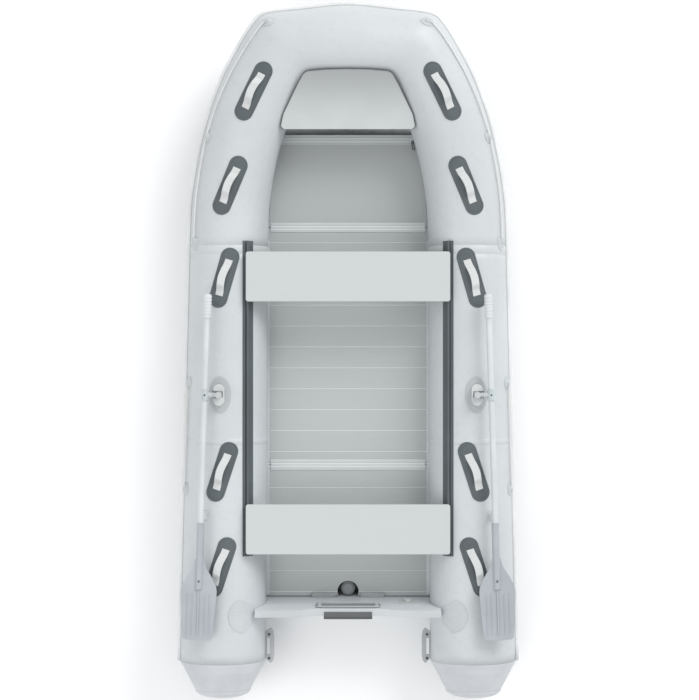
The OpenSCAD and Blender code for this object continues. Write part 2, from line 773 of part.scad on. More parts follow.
function rope_ring(line, i) =
  let (last = len(line) - 1, d = line[min(last, i + 1)] - line[max(0, i - 1)],
    v = d / norm(d), s = cross(v, [0, 0, 1]) / norm(cross(v, [0, 0, 1])), u = cross(s, v))
    [for (j = [0:rope_sides - 1])
      line[i] + rope_d / 2 * (cos(j * 360 / rope_sides) * s + sin(j * 360 / rope_sides) * u)];

module rope(route, n) {
  line = rope_line(route, n);
  loft([for (i = [0:len(line) - 1]) rope_ring(line, i)]);
}

module grab_ropes() {
  color([0.88, 0.89, 0.9]) both_sides() {
    rope(bow_rope, 5);
    rope(aft_rope, 10);
  }
}

module guide(p) {
  eye = rope_rise * p[2];
  on_tube(p[0], p[1]) difference() {
    union() {
      translate([0, 0, stuck]) cylinder(d = 58, h = guide_base_t);
      translate([0, 0, stuck + 1]) cylinder(d1 = 36, d2 = 24, h = eye + rope_d / 2 + 1.5);
    }
    translate([0, 40, eye]) rotate([90, 0, 0]) cylinder(d = rope_d + 3.6, h = 80);
  }
}

module rope_guides() {
  color([0.74, 0.76, 0.77]) both_sides() {
    for (i = bow_guides) guide(bow_rope[i]);
    for (i = aft_guides) guide(aft_rope[i]);
  }
}

// Oarlocks: a fabric patch and a block on the crown, and a swivel with a cross pin
lock_y = -198;
oar_x = tube_x_fore + 97;
lock_x = oar_x - 64;
oar_z = tube_z + tube_r_aft + 50;
oar_splay = 1.8;
patch_t = 3;
block_low = crown([tube_x_fore + 8, lock_y]) + stuck + patch_t + gap;
block_high = oar_z - 19;
head_low = block_high + gap;

module oarlock_patches() {
  half_w = 53;
  half_len = 86;
  shares = [-1, -0.5, 0, 0.5, 1];
  steps = [-0.97, -0.85, -0.6, -0.3, 0, 0.3, 0.6, 0.85, 0.97];
  color([0.7, 0.72, 0.73]) both_sides() loft([for (s = steps)
    let (w = half_w * sqrt(1 - s * s), row = [for (k = shares)
      [lock_x - 2 + k * w, lock_y + s * half_len]])
      concat([for (i = [0:4]) on_crown(row[i], stuck)],
        [for (i = [4:-1:0]) on_crown(row[i], stuck + patch_t)])]);
}

module oarlock_block() {
  difference() {
    translate([0, 0, block_low]) linear_extrude(block_high - block_low) difference() {
      union() {
        square([52, 68], center = true);
        for (sy = [-1, 1]) translate([0, sy * 26]) circle(d = 50);
      }
      for (sy = [-1, 1]) translate([25, sy * 13]) square([26, 5], center = true);
    }
    translate([0, 0, block_low + 3]) cylinder(d = post_d + 2 * fit, h = 60);
  }
}

module oarlock_bases() {
  color([0.86, 0.87, 0.87]) both_sides() translate([lock_x, lock_y, 0]) oarlock_block();
}

boss_from = 35;
pin_depth = 14;

module oarlock() {
  reach = oar_x - lock_x;
  color([0.8, 0.81, 0.81]) translate([lock_x, lock_y, 0]) {
    translate([0, 0, block_low + 4]) cylinder(d = post_d, h = head_low - block_low + 6);
    translate([0, 0, head_low]) cylinder(d = 30, h = 2 * (oar_z - head_low));
    translate([0, 0, oar_z]) rotate([0, 90, 0])
      cylinder(d = arm_d, h = reach - boss_from + pin_depth);
    translate([12, 0, oar_z]) rotate([0, 90, 0])
      cylinder(d = arm_d + 10, h = reach - boss_from - gap - 12);
  }
}

module starboard_oarlock() {
  oarlock();
}

module port_oarlock() {
  mirror([1, 0, 0]) oarlock();
}

// Oars, laid with y forward along the shaft and the origin at the collar
grip_far = 470;
grip_len = 112;
shaft_aft = -880;
neck_fore = -597;
neck_aft = -905;
neck_d = 36;
blade_fore = -751;
blade_aft = -1143;
button_y = -868;
button_r = 5;
button_out = 3;
wall_t = 1.5;
blade_t = 10;

module at_oar() {
  translate([oar_x, lock_y, oar_z]) rotate([0, 0, oar_splay]) children();
}

module along_y(from_y, to_y) {
  translate([0, to_y, 0]) rotate([90, 0, 0]) linear_extrude(to_y - from_y) children();
}

module oar_shaft() {
  color([0.86, 0.87, 0.88]) at_oar() difference() {
    along_y(shaft_aft, grip_far - 8) circle(d = shaft_d);
    along_y(shaft_aft - 1, grip_far) circle(d = shaft_d - 2 * wall_t);
    translate([0, button_y, 0]) cylinder(r = button_r + fit, h = shaft_d);
  }
}

module oar_grip() {
  color([0.84, 0.85, 0.86]) at_oar() difference() {
    union() {
      along_y(grip_far - grip_len, grip_far) circle(d = grip_d - 4);
      for (i = [0:6])
        along_y(grip_far - grip_len + 4 + i * 15, grip_far - grip_len + 14 + i * 15)
          circle(d = grip_d);
    }
    along_y(grip_far - grip_len - 1, grip_far - 7.7) circle(d = shaft_d + 2 * fit);
  }
}

module oar_collar() {
  color([0.8, 0.81, 0.82]) at_oar() difference() {
    union() {
      along_y(-25, 25) circle(d = shaft_d + 10);
      rotate([0, 0, -oar_splay]) translate([-boss_from, 0, 0]) rotate([0, 90, 0])
        cylinder(d = arm_d + 12, h = boss_from - shaft_d / 2 - 1);
    }
    along_y(-26, 26) circle(d = shaft_d + 2 * fit);
    rotate([0, 0, -oar_splay]) translate([-boss_from - 1, 0, 0]) rotate([0, 90, 0])
      cylinder(d = arm_d + 2 * fit, h = pin_depth + 2);
  }
}

blade_outline = [[15, blade_fore], [30, blade_fore - 50], [60, blade_fore - 100],
  [0.5 * blade_w - 3, blade_fore - 142], [0.5 * blade_w, blade_fore - 165],
  [0.5 * blade_w - 1, blade_fore - 200], [0.5 * blade_w - 14, blade_aft + 12],
  [0.5 * blade_w - 22, blade_aft + 2], [0, blade_aft - 4]];

module oar_blade() {
  left = [for (i = [len(blade_outline) - 2:-1:0]) [-blade_outline[i][0], blade_outline[i][1]]];
  color([0.72, 0.74, 0.77]) at_oar() difference() {
    union() {
      along_y(neck_aft, neck_fore) circle(d = neck_d);
      translate([0, 0, -blade_t / 2]) linear_extrude(blade_t) polygon(concat(blade_outline, left));
      for (x = [-52, -30, 30, 52])
        translate([x - 2, blade_aft + 25, 0]) cube([4, 190, blade_t / 2 + 2]);
      translate([-4, blade_aft + 25, 0]) cube([8, 215, blade_t / 2 + 5]);
    }
    along_y(shaft_aft - gap, neck_fore + 1) circle(d = shaft_d + 2 * fit);
    translate([0, button_y, 0]) cylinder(r = button_r + 0.2, h = neck_d);
  }
}

module blade_button() {
  top = neck_d / 2 + button_out;
  inside = shaft_d / 2 - wall_t - 6;
  color([0.3, 0.31, 0.32]) at_oar() translate([0, button_y, inside])
    cylinder(r = button_r, h = top - inside);
}

module starboard_oar_shaft() {
  oar_shaft();
}

module port_oar_shaft() {
  mirror([1, 0, 0]) oar_shaft();
}

module starboard_oar_grip() {
  oar_grip();
}

module port_oar_grip() {
  mirror([1, 0, 0]) oar_grip();
}

module starboard_oar_collar() {
  oar_collar();
}

module port_oar_collar() {
  mirror([1, 0, 0]) oar_collar();
}

module starboard_oar_blade() {
  oar_blade();
}

module port_oar_blade() {
  mirror([1, 0, 0]) oar_blade();
}

module starboard_blade_button() {
  blade_button();
}

module port_blade_button() {
  mirror([1, 0, 0]) blade_button();
}

// Clips that hold the stowed oars: a foot on the tube and a cradle open above and outboard
clip_y = -765;
clip_x = oar_x + (lock_y - clip_y) * tan(oar_splay);
clip_len = 28;
cradle_r = shaft_d / 2 + 0.4;

module at_clip() {
  translate([clip_x, clip_y, oar_z]) rotate([0, 0, oar_splay]) children();
}

module oar_clips() {
  foot_x = clip_x - 12;
  foot_z = crown([foot_x - 14, clip_y]) + stuck;
  color([0.88, 0.88, 0.88]) both_sides() {
    difference() {
      union() {
        at_clip() rotate([90, 0, 0]) cylinder(r = cradle_r + 4, h = clip_len, center = true);
        translate([foot_x - 8, clip_y - 10, foot_z]) cube([18, 20, oar_z - 12 - foot_z]);
        translate([foot_x - 14, clip_y - 20, foot_z]) cube([28, 40, 4]);
      }
      at_clip() {
        rotate([90, 0, 0]) cylinder(r = cradle_r, h = 2 * clip_len, center = true);
        translate([0, -clip_len, -cradle_r - 10]) cube([60, 2 * clip_len, 60]);
        translate([-30, -clip_len, 0]) cube([60, 2 * clip_len, 60]);
      }
    }
  }
}

// Stern handles: a flat loop on the inboard side of each tube end
handle_t = 22;
loop_x = tube_x_aft - tube_r_aft;
loop_fore = chamber_y + 148;
loop_aft = chamber_y - 20;
screw_d = 8;
screw_ys = [loop_fore - 30, loop_aft + 24];

module stern_handles() {
  color([0.62, 0.62, 0.64]) both_sides() translate([0, 0, tube_z - handle_t / 2])
    linear_extrude(handle_t) difference() {
      polygon([[loop_x - 1, loop_fore - 16], [loop_x - 24, loop_fore],
        [loop_x - 36, loop_fore - 14], [loop_x - 40, loop_fore - 44],
        [loop_x - 40, loop_aft + 40], [loop_x - 36, loop_aft + 14], [loop_x - 24, loop_aft],
        [loop_x - 1, loop_aft + 22]]);
      translate([loop_x - 19, loop_aft + 40]) square([14, loop_fore - loop_aft - 88]);
      for (y = screw_ys) translate([loop_x - 16, y]) circle(d = screw_d + 2 * fit);
    }
}

module handle_screws() {
  color([0.2, 0.2, 0.22]) both_sides() for (y = screw_ys)
    translate([loop_x - 16, y, tube_z - handle_t / 2 - 1]) {
      cylinder(d = screw_d, h = handle_t + 1.5);
      translate([0, 0, handle_t + 1 + gap]) cylinder(d = screw_d + 4, h = 3);
    }
}

// Towing ring on the underside of the stem
tow_angle = -38;
ring_wire = 6;
ring_half = 22;
ring_hold = 16;

module on_stem() {
  at = skin(stem_t, tow_angle, stuck);
  translate(at) rotate([tow_angle, 0, 0]) children();
}

module tow_patch() {
  color([0.5, 0.51, 0.52]) on_stem() rotate([-90, 0, 0]) difference() {
    union() {
      cylinder(d = 96, h = 3);
      translate([-14, 0, 2]) rotate([0, 90, 0]) cylinder(d = ring_wire + 10, h = 28);
    }
    translate([-15, 0, 2 + ring_wire / 2 + 2.5]) rotate([0, 90, 0])
      cylinder(d = ring_wire + 2 * fit, h = 30);
    translate([-60, -60, -20]) cube([120, 120, 20]);
  }
}

module tow_ring() {
  color([0.75, 0.76, 0.78]) on_stem() translate([0, 4.5 + ring_wire / 2, 0]) rotate([-tow_angle, 0, 0]) {
    translate([-ring_half, 0, 0]) rotate([0, 90, 0]) cylinder(d = ring_wire, h = 2 * ring_half);
    rotate([90, 0, 0]) rotate([0, 0, 180]) rotate_extrude(angle = 180)
      translate([ring_half, 0]) circle(d = ring_wire, $fn = 24);
  }
}

port_chamber();
starboard_chamber();
bow_chamber();
chamber_baffles();
stern_cones();
rub_strake();
bottom_fabric();
keel_tube();
keel_strip();
bow_floor_panel();
mid_floor_panel();
aft_floor_panel();
floor_joiners();
side_stringers();
floor_stops();
transom_board();
transom_cap();
transom_shells();
motor_plate();
motor_pad();
drain_fitting();
drain_plug();
keel_valve();
keel_valve_cap();
tube_valves();
port_valve_cap();
starboard_valve_cap();
bow_valve_cap();
handle_pads();
handle_straps();
rail_strips();
bench_rails();
fore_bench();
aft_bench();
fore_bench_sliders();
aft_bench_sliders();
bow_deck();
deck_trim();
rope_guides();
grab_ropes();
oarlock_patches();
oarlock_bases();
port_oarlock();
starboard_oarlock();
port_oar_shaft();
starboard_oar_shaft();
port_oar_grip();
starboard_oar_grip();
port_oar_collar();
starboard_oar_collar();
port_oar_blade();
starboard_oar_blade();
port_blade_button();
starboard_blade_button();
oar_clips();
stern_handles();
handle_screws();
tow_patch();
tow_ring();
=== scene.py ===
import json
import math
import bmesh
import bpy
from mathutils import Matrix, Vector

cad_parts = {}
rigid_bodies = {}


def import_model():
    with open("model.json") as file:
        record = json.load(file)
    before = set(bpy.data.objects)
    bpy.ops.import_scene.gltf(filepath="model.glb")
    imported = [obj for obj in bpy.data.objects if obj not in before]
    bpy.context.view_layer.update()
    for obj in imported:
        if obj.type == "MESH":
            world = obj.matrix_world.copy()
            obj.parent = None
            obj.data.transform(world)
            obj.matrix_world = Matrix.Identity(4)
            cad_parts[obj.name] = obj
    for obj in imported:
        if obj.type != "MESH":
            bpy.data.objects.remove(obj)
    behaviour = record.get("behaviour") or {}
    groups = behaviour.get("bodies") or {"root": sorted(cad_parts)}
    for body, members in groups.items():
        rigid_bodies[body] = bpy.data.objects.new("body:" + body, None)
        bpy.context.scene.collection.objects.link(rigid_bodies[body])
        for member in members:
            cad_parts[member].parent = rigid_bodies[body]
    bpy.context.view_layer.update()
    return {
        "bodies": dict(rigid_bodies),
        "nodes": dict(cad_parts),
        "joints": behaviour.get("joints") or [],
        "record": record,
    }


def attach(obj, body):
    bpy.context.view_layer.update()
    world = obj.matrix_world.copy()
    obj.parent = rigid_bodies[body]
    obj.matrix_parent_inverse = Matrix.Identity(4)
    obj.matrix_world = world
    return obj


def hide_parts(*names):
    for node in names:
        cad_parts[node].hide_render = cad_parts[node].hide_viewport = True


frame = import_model()
cadNodes = frame["nodes"]
print("frame loaded,", len(cadNodes), "nodes")

# camera straight over the boat, and soft daylight from above
studio = {
    "eye": (0.007, 0.012, 9.5), "lens": 99.8, "film": 36.0,
    "sky": (0.97, 0.985, 1.0), "skyStrength": 0.82,
    "floorColour": (0.96, 0.96, 0.96),
    "lamps": [("mainSoftbox", (8.5, 10.5, 10.0), 8.0, 1300), ("fillSoftbox", (-3.4, -3.6, 6.5), 6.0, 130)],
}


def setUpStudio(settings):
    scene = bpy.context.scene
    scene.view_settings.view_transform = "Standard"
    camera = bpy.data.cameras.new("overheadCamera")
    camera.lens = settings["lens"]
    camera.sensor_width = settings["film"]
    camera.sensor_fit = "HORIZONTAL"
    camera.clip_end = 60
    eye = bpy.data.objects.new("overheadCamera", camera)
    eye.location = settings["eye"]
    scene.collection.objects.link(eye)
    scene.camera = eye
    sky = bpy.data.worlds.new("studioSky")
    sky.use_nodes = True
    background = sky.node_tree.nodes["Background"]
    background.inputs["Color"].default_value = (*settings["sky"], 1)
    background.inputs["Strength"].default_value = settings["skyStrength"]
    scene.world = sky
    for name, place, size, power in settings["lamps"]:
        lamp = bpy.data.lights.new(name, "AREA")
        lamp.size = size
        lamp.energy = power
        holder = bpy.data.objects.new(name, lamp)
        holder.location = place
        holder.rotation_euler = Vector(place).to_track_quat("Z", "Y").to_euler()
        scene.collection.objects.link(holder)


setUpStudio(studio)


# shader maths: a wire is one output socket, and sums on wires add Math nodes
class Wire:
    def __init__(self, finish, socket):
        self.finish = finish
        self.socket = socket

    def calc(self, operation, *others):
        values = dict(enumerate(others))
        return self.finish.add("ShaderNodeMath", {"operation": operation}, values)

    def __add__(self, other):
        return self.calc("ADD", self, other)

    __radd__ = __add__

    def __mul__(self, other):
        return self.calc("MULTIPLY", self, other)

    __rmul__ = __mul__

    def __sub__(self, other):
        return self.calc("SUBTRACT", self, other)

    def __rsub__(self, other):
        return self.calc("SUBTRACT", other, self)

    def __truediv__(self, other):
        return self.calc("DIVIDE", self, other)

    def least(self, other):
        return self.calc("MINIMUM", self, other)

    def wrap(self, low, high):
        return self.calc("WRAP", self, high, low)

    def ramp(self, low, high):  # 0 below low, 1 above high, smooth between
        return self.finish.add(
            "ShaderNodeMapRange", {"interpolation_type": "SMOOTHSTEP"},
            {"Value": self, "From Min": low, "From Max": high})


class Finish:  # one material, built node by node
    def __init__(self, name, roughness=0.5, **fixed):
        self.material = bpy.data.materials.new(name)
        self.material.use_nodes = True
        self.tree = self.material.node_tree
        self.shader = self.tree.nodes["Principled BSDF"]
        self.shader.inputs["Roughness"].default_value = roughness
        for socket, value in fixed.items():
            self.shader.inputs[socket.replace("_", " ")].default_value = value

    def add(self, kind, settings, values, out=0):
        node = self.tree.nodes.new(kind)
        for key, value in settings.items():
            setattr(node, key, value)
        for key, value in values.items():
            if isinstance(value, Wire):
                self.tree.links.new(value.socket, node.inputs[key])
            else:
                node.inputs[key].default_value = value
        return Wire(self, node.outputs[out])

    def feed(self, socket, wire):
        self.tree.links.new(wire.socket, self.shader.inputs[socket])

    def place(self):
        return self.add("ShaderNodeTexCoord", {}, {}, out="Object")

    def sheetPlace(self):
        return self.add("ShaderNodeTexCoord", {}, {}, out="UV")

    def split(self, vector):
        node = self.tree.nodes.new("ShaderNodeSeparateXYZ")
        self.tree.links.new(vector.socket, node.inputs[0])
        return [Wire(self, socket) for socket in node.outputs]

    def cloud(self, vector, scale, detail=3.0, roughness=0.55):
        return self.add(
            "ShaderNodeTexNoise", {},
            {"Vector": vector, "Scale": scale, "Detail": detail, "Roughness": roughness})

    def blendColours(self, amount, first, second, mode="MIX"):
        return self.add(
            "ShaderNodeMix", {"data_type": "RGBA", "blend_type": mode},
            {0: amount, 6: first, 7: second}, out=2)

    def relief(self, height, strength, distance):
        normal = self.add(
            "ShaderNodeBump", {}, {"Height": height, "Strength": strength, "Distance": distance})
        self.feed("Normal", normal)

    def cornerWear(self, radius):  # 1 on sharp outside edges
        soft = self.add("ShaderNodeBevel", {"samples": 4}, {"Radius": radius})
        hard = self.add("ShaderNodeNewGeometry", {}, {}, out="Normal")
        dot = self.add("ShaderNodeVectorMath", {"operation": "DOT_PRODUCT"}, {0: soft, 1: hard}, out=1)
        return (1 - dot).ramp(0.02, 0.25)


def shade(red, green, blue):  # screen colour, 0 to 255, as light
    channel = [value / 255 for value in (red, green, blue)]
    return tuple(c / 12.92 if c < 0.04 else ((c + 0.055) / 1.055) ** 2.4 for c in channel) + (1,)


def tint(colour, factor):
    return tuple(min(1.0, c * factor) for c in colour[:3]) + (1,)


# finishes
def coatedFabric(name, colour, roughness, weave=900.0, grime=0.10):
    finish = Finish(name, roughness, Coat_Weight=0.06, Coat_Roughness=0.3)
    place = finish.place()
    x, y, z = finish.split(place)
    broad = finish.cloud(place, 2.2, 4.0)
    fine = finish.cloud(place, 34.0, 5.0, 0.62)
    cloudy = finish.blendColours(broad.ramp(0.32, 0.7), tint(colour, 0.965), tint(colour, 1.03))
    low = 1 - z.ramp(0.02, 0.16)  # scuffed and dirtier near the ground
    dirt = (fine.ramp(0.50, 0.74) * (grime + low * 0.35)).least(0.5)
    finish.feed("Base Color", finish.blendColours(dirt, cloudy, shade(150, 146, 136)))
    finish.feed("Roughness", fine * 0.16 + broad * 0.08 + (roughness - 0.12))
    threads = (x * weave * 2).calc("SINE", x * weave * 2) * (y * weave * 2).calc("SINE", y * weave * 2)
    pucker = finish.cloud(place, 7.0, 2.0) * 3.0
    finish.relief(threads * 0.05 + fine * 0.25 + pucker, 0.22, 0.0016)
    return finish.material


def moulded(name, colour, roughness, grain=420.0, wear=0.25, worn=None, spread=0.06, paintedShade=None, **fixed):
    finish = Finish(name, roughness, **fixed)
    place = finish.place()
    broad = finish.cloud(place, 6.0, 4.0)
    fine = finish.cloud(place, grain, 2.0, 0.6)
    scratch = finish.cloud(
        finish.add("ShaderNodeMapping", {}, {"Vector": place, "Scale": (9.0, 60.0, 30.0)}), 5.0, 5.0, 0.7)
    body = finish.blendColours(broad.ramp(0.3, 0.72), tint(colour, 1 - spread), tint(colour, 1 + spread))
    if paintedShade:  # painted shade: darker from one y to another
        low, high, tone = paintedShade
        body = finish.blendColours(finish.split(place)[1].ramp(low, high), body, tint(colour, tone))
    rubbed = (finish.cornerWear(0.0025) * broad.ramp(0.35, 0.6) * wear).least(0.8)
    finish.feed("Base Color", finish.blendColours(rubbed, body, worn or tint(colour, 1.5)))
    finish.feed("Roughness", scratch * 0.14 + fine * 0.10 + (roughness - 0.12))
    finish.relief(fine + scratch * 0.4, 0.12, 0.0006)
    return finish.material


# the slat lines are painted light: groove and shadedLand are the half-widths of a painted highlight along each
# groove and of painted shade beside it, and from bowPanel forward the bow panel gets painted shade
slatLines = {"pitch": 0.101, "midFirst": 0.532, "aftFirst": -0.651, "panelsMeet": -0.5415, "bowPanel": 0.600,
             "groove": 0.0022, "shadedLand": 0.0052}


def slatHighlightAndShade(finish, place):  # 1 in the grooves between slats, where a painted highlight goes, 1 on the land beside them, where painted shade goes, and 1 on the bow panel, which gets painted shade
    _, y, _ = finish.split(place)
    aft = 1 - y.ramp(slatLines["panelsMeet"] - 0.001, slatLines["panelsMeet"] + 0.001)
    shift = aft * (slatLines["midFirst"] - slatLines["aftFirst"])
    half = slatLines["pitch"] / 2
    along = (y + shift - slatLines["midFirst"]).wrap(-half, half)
    away = along.calc("ABSOLUTE", along)
    behind = 1 - y.ramp(slatLines["bowPanel"] - 0.002, slatLines["bowPanel"])
    groove = (1 - away.ramp(slatLines["groove"] * 0.6, slatLines["groove"])) * behind
    shadedLand = (1 - away.ramp(slatLines["shadedLand"] * 0.8, slatLines["shadedLand"])) * behind
    return groove, shadedLand, 1 - behind


def paintedBoard(name, colour, roughness, along=1, grain=0.10, grime=0.2, slats=False):
    finish = Finish(name, roughness, Coat_Weight=0.12, Coat_Roughness=0.25)
    place = finish.place()
    stretch = [46.0, 46.0, 46.0]
    stretch[along] = 2.6
    grainPlace = finish.add("ShaderNodeMapping", {}, {"Vector": place, "Scale": tuple(stretch)})
    fibres = finish.cloud(grainPlace, 2.0, 5.0, 0.6)
    broad = finish.cloud(place, 3.4, 4.0)
    speck = finish.cloud(place, 120.0, 3.0, 0.7)
    paint = finish.blendColours(
        fibres.ramp(0.3, 0.75), tint(colour, 1 - grain), tint(colour, 1 + grain * 0.6))
    scuff = (speck.ramp(0.58, 0.72) * broad.ramp(0.42, 0.68) * grime).least(0.6)
    dirty = finish.blendColours(scuff, paint, tint(colour, 0.55))
    rubbed = (finish.cornerWear(0.003) * speck.ramp(0.4, 0.55) * 0.5).least(0.7)
    final = finish.blendColours(rubbed, dirty, tint(colour, 1.25))
    if slats:
        # painted shade over the bow panel, painted shade on the land beside each groove and a painted highlight
        # in each groove
        groove, shadedLand, bowPanelShade = slatHighlightAndShade(finish, place)
        final = finish.blendColours(bowPanelShade, final, tint(colour, 0.94))
        final = finish.blendColours(shadedLand * 0.8, final, tint(colour, 0.93))
        final = finish.blendColours(groove * 0.9, final, tint(colour, 1.6))
    finish.feed("Base Color", final)
    finish.feed("Roughness", fibres * 0.12 + speck * 0.14 + (roughness - 0.1))
    finish.relief(fibres * grain * 4 + speck * 0.15, 0.12, 0.0006)
    return finish.material


def drawnAlloy(name, colour, roughness, along=1, metal=0.85, joiners=()):
    finish = Finish(name, roughness, Metallic=metal)
    place = finish.place()
    stretch = [700.0, 700.0, 700.0]
    stretch[along] = 9.0
    lines = finish.cloud(
        finish.add("ShaderNodeMapping", {}, {"Vector": place, "Scale": tuple(stretch)}), 1.0, 3.0, 0.6)
    broad = finish.cloud(place, 9.0, 4.0)
    base = finish.blendColours(
        (lines * 0.6 + broad * 0.4).ramp(0.3, 0.75), tint(colour, 0.92), tint(colour, 1.05))
    y = finish.split(place)[1]
    for middle in joiners:  # painted highlight on the ribs and painted shade in the hollows along each floor joiner
        away = (y - middle + 0.003).calc("ABSOLUTE", y - middle + 0.003)
        rib = (away.ramp(0.006, 0.0075) - away.ramp(0.0095, 0.011))
        hollowShade = (away.ramp(0.011, 0.0125) - away.ramp(0.0145, 0.016))
        base = finish.blendColours(rib * 0.8, base, tint(colour, 1.3))
        base = finish.blendColours(hollowShade * 0.7, base, tint(colour, 0.62))
    finish.feed("Base Color", base)
    finish.feed("Roughness", lines * 0.18 + broad * 0.14 + (roughness - 0.14))
    finish.relief(lines, 0.06, 0.0004)
    return finish.material


def twillWebbing(name, colour):
    finish = Finish(name, 0.72, Sheen_Weight=0.15)
    u, v, _ = finish.split(finish.sheetPlace())
    across = u * 1100.0
    along = v * 1100.0
    ridges = (across + along).calc("SINE", across + along) * 0.5 + 0.5
    counter = (across - along * 0.5).calc("SINE", across - along * 0.5) * 0.5 + 0.5
    weave = ridges * 0.75 + counter * 0.25
    fuzz = finish.cloud(finish.place(), 300.0, 3.0, 0.7)
    worn = finish.cloud(finish.place(), 14.0, 4.0)
    bands = (u * 349.0).calc("COSINE", u * 349.0)  # two darker lines inside the selvedges
    base = finish.blendColours(weave.ramp(0.15, 0.8), tint(colour, 0.78), tint(colour, 1.06))
    lined = finish.blendColours((bands.ramp(0.85, 0.99)) * 0.12, base, tint(colour, 0.7))
    finish.feed("Base Color", finish.blendColours(
        worn.ramp(0.5, 0.75) * 0.22, lined, shade(176, 172, 160)))
    finish.feed("Roughness", fuzz * 0.2 + 0.6)
    finish.relief(weave + fuzz * 0.3, 0.5, 0.0009)
    return finish.material


def laidRope(name, colour):
    finish = Finish(name, 0.7, Sheen_Weight=0.2)
    place = finish.place()
    fibres = finish.cloud(place, 520.0, 3.0, 0.7)
    broad = finish.cloud(place, 6.0, 3.0)
    base = finish.blendColours(fibres.ramp(0.3, 0.7), tint(colour, 0.86), tint(colour, 1.04))
    finish.feed("Base Color", finish.blendColours(broad.ramp(0.45, 0.75) * 0.25, base, shade(180, 176, 165)))
    finish.feed("Roughness", fibres * 0.2 + 0.6)
    finish.relief(fibres, 0.3, 0.0006)
    return finish.material


def milkyPlastic(name, colour):
    finish = Finish(name, 0.28, Transmission_Weight=0.25, IOR=1.46, Subsurface_Weight=0.15)
    place = finish.place()
    broad = finish.cloud(place, 16.0, 4.0)
    fine = finish.cloud(place, 300.0, 2.0)
    finish.feed(
        "Base Color", finish.blendColours(broad.ramp(0.3, 0.7), tint(colour, 0.94), tint(colour, 1.04)))
    finish.feed("Roughness", fine * 0.12 + broad * 0.1 + 0.18)
    finish.relief(fine, 0.05, 0.0004)
    return finish.material


finishes = {
    "tube_fabric": coatedFabric("paleTubeFabric", shade(199, 203, 205), 0.46),
    "baffle_fabric": coatedFabric("baffleFabric", shade(196, 198, 199), 0.6),
    "bottom_fabric": coatedFabric("bottomFabric", shade(186, 189, 190), 0.5, grime=0.3),
    "cone_rubber": moulded("coneRubber", shade(197, 200, 203), 0.5, wear=0.1, worn=shade(206, 208, 210)),
    "strake_rubber": moulded("strakeRubber", shade(224, 225, 225), 0.48, wear=0.2, worn=shade(190, 188, 182)),
    "shell_rubber": moulded("shellRubber", shade(190, 194, 196), 0.55, wear=0.15, worn=shade(206, 208, 208)),
    "keel_rubber": moulded("keelRubber", shade(92, 96, 98), 0.7),
    "floor_board": paintedBoard(
        "floorBoard", shade(181, 185, 185), 0.46, along=0, grain=0.018, grime=0.2, slats=True),
    "floor_alloy": drawnAlloy(
        "floorAlloy", shade(208, 212, 212), 0.46, along=0, metal=0.3, joiners=(0.6045, -0.5415, 1.0285)),
    "stop_block": paintedBoard("stopBlock", shade(172, 175, 176), 0.55, along=0),
    "transom_paint": paintedBoard("transomPaint", shade(214, 218, 221), 0.45, along=0, grain=0.02),
    "edge_plastic": moulded("edgePlastic", shade(192, 196, 198), 0.4),
    "motor_plastic": moulded("motorPlate", shade(138, 141, 142), 0.5),
    "motor_pad_rubber": moulded("motorPadRubber", shade(94, 96, 96), 0.72, wear=0.35),
    "white_plastic": moulded("whitePlastic", shade(202, 205, 205), 0.38, wear=0.1, worn=shade(186, 186, 182)),
    "valve_plastic": moulded("valvePlastic", shade(132, 135, 136), 0.45),
    "cap_plastic": moulded("capPlastic", shade(92, 94, 96), 0.45),
    "pad_rubber": moulded("padRubber", shade(86, 93, 96), 0.66, grain=900.0, wear=0.15, spread=0.09),
    "rail_rubber": moulded("railRubber", shade(86, 93, 96), 0.62, grain=700.0, wear=0.2, spread=0.08),
    "webbing": twillWebbing("twillWebbing", shade(217, 219, 218)),
    "bench_paint": paintedBoard("benchPaint", shade(194, 198, 197), 0.4, along=0, grain=0.012, grime=0.08),
    "slider_plastic": moulded("sliderPlastic", shade(78, 81, 83), 0.5),
    # the deck's forward end is darkened by painted shade
    "deck_plastic": moulded(
        "deckPlastic", shade(200, 204, 204), 0.4, grain=240.0, wear=0.1, spread=0.03, paintedShade=(1.06, 1.34, 0.62)),
    "trim_rubber": moulded("trimRubber", shade(84, 87, 89), 0.6),
    "guide_rubber": moulded("guideRubber", shade(190, 194, 196), 0.52, wear=0.15),
    "rope_fibre": laidRope("laidRope", shade(226, 227, 226)),
    "lock_patch_rubber": moulded("lockPatchRubber", shade(182, 186, 188), 0.55, grain=600.0),
    "lock_alloy": moulded("lockPlastic", shade(186, 189, 190), 0.42, wear=0.1, worn=shade(180, 182, 183)),
    "shaft_alloy": moulded("shaftCoat", shade(206, 210, 211), 0.36, wear=0.1, worn=shade(190, 193, 194)),
    "grip_plastic": moulded("gripPlastic", shade(212, 215, 217), 0.55),
    "collar_plastic": milkyPlastic("collarPlastic", shade(214, 218, 220)),
    "blade_plastic": moulded("bladePlastic", shade(168, 173, 178), 0.38, wear=0.3, worn=shade(196, 199, 202)),
    "handle_rubber": moulded("handleRubber", shade(172, 173, 176), 0.55),
    "dark_screw": drawnAlloy("darkScrew", shade(70, 71, 73), 0.4),
    "ring_steel": drawnAlloy("ringSteel", shade(206, 208, 210), 0.2),
}
print("finishes made:", len(finishes))

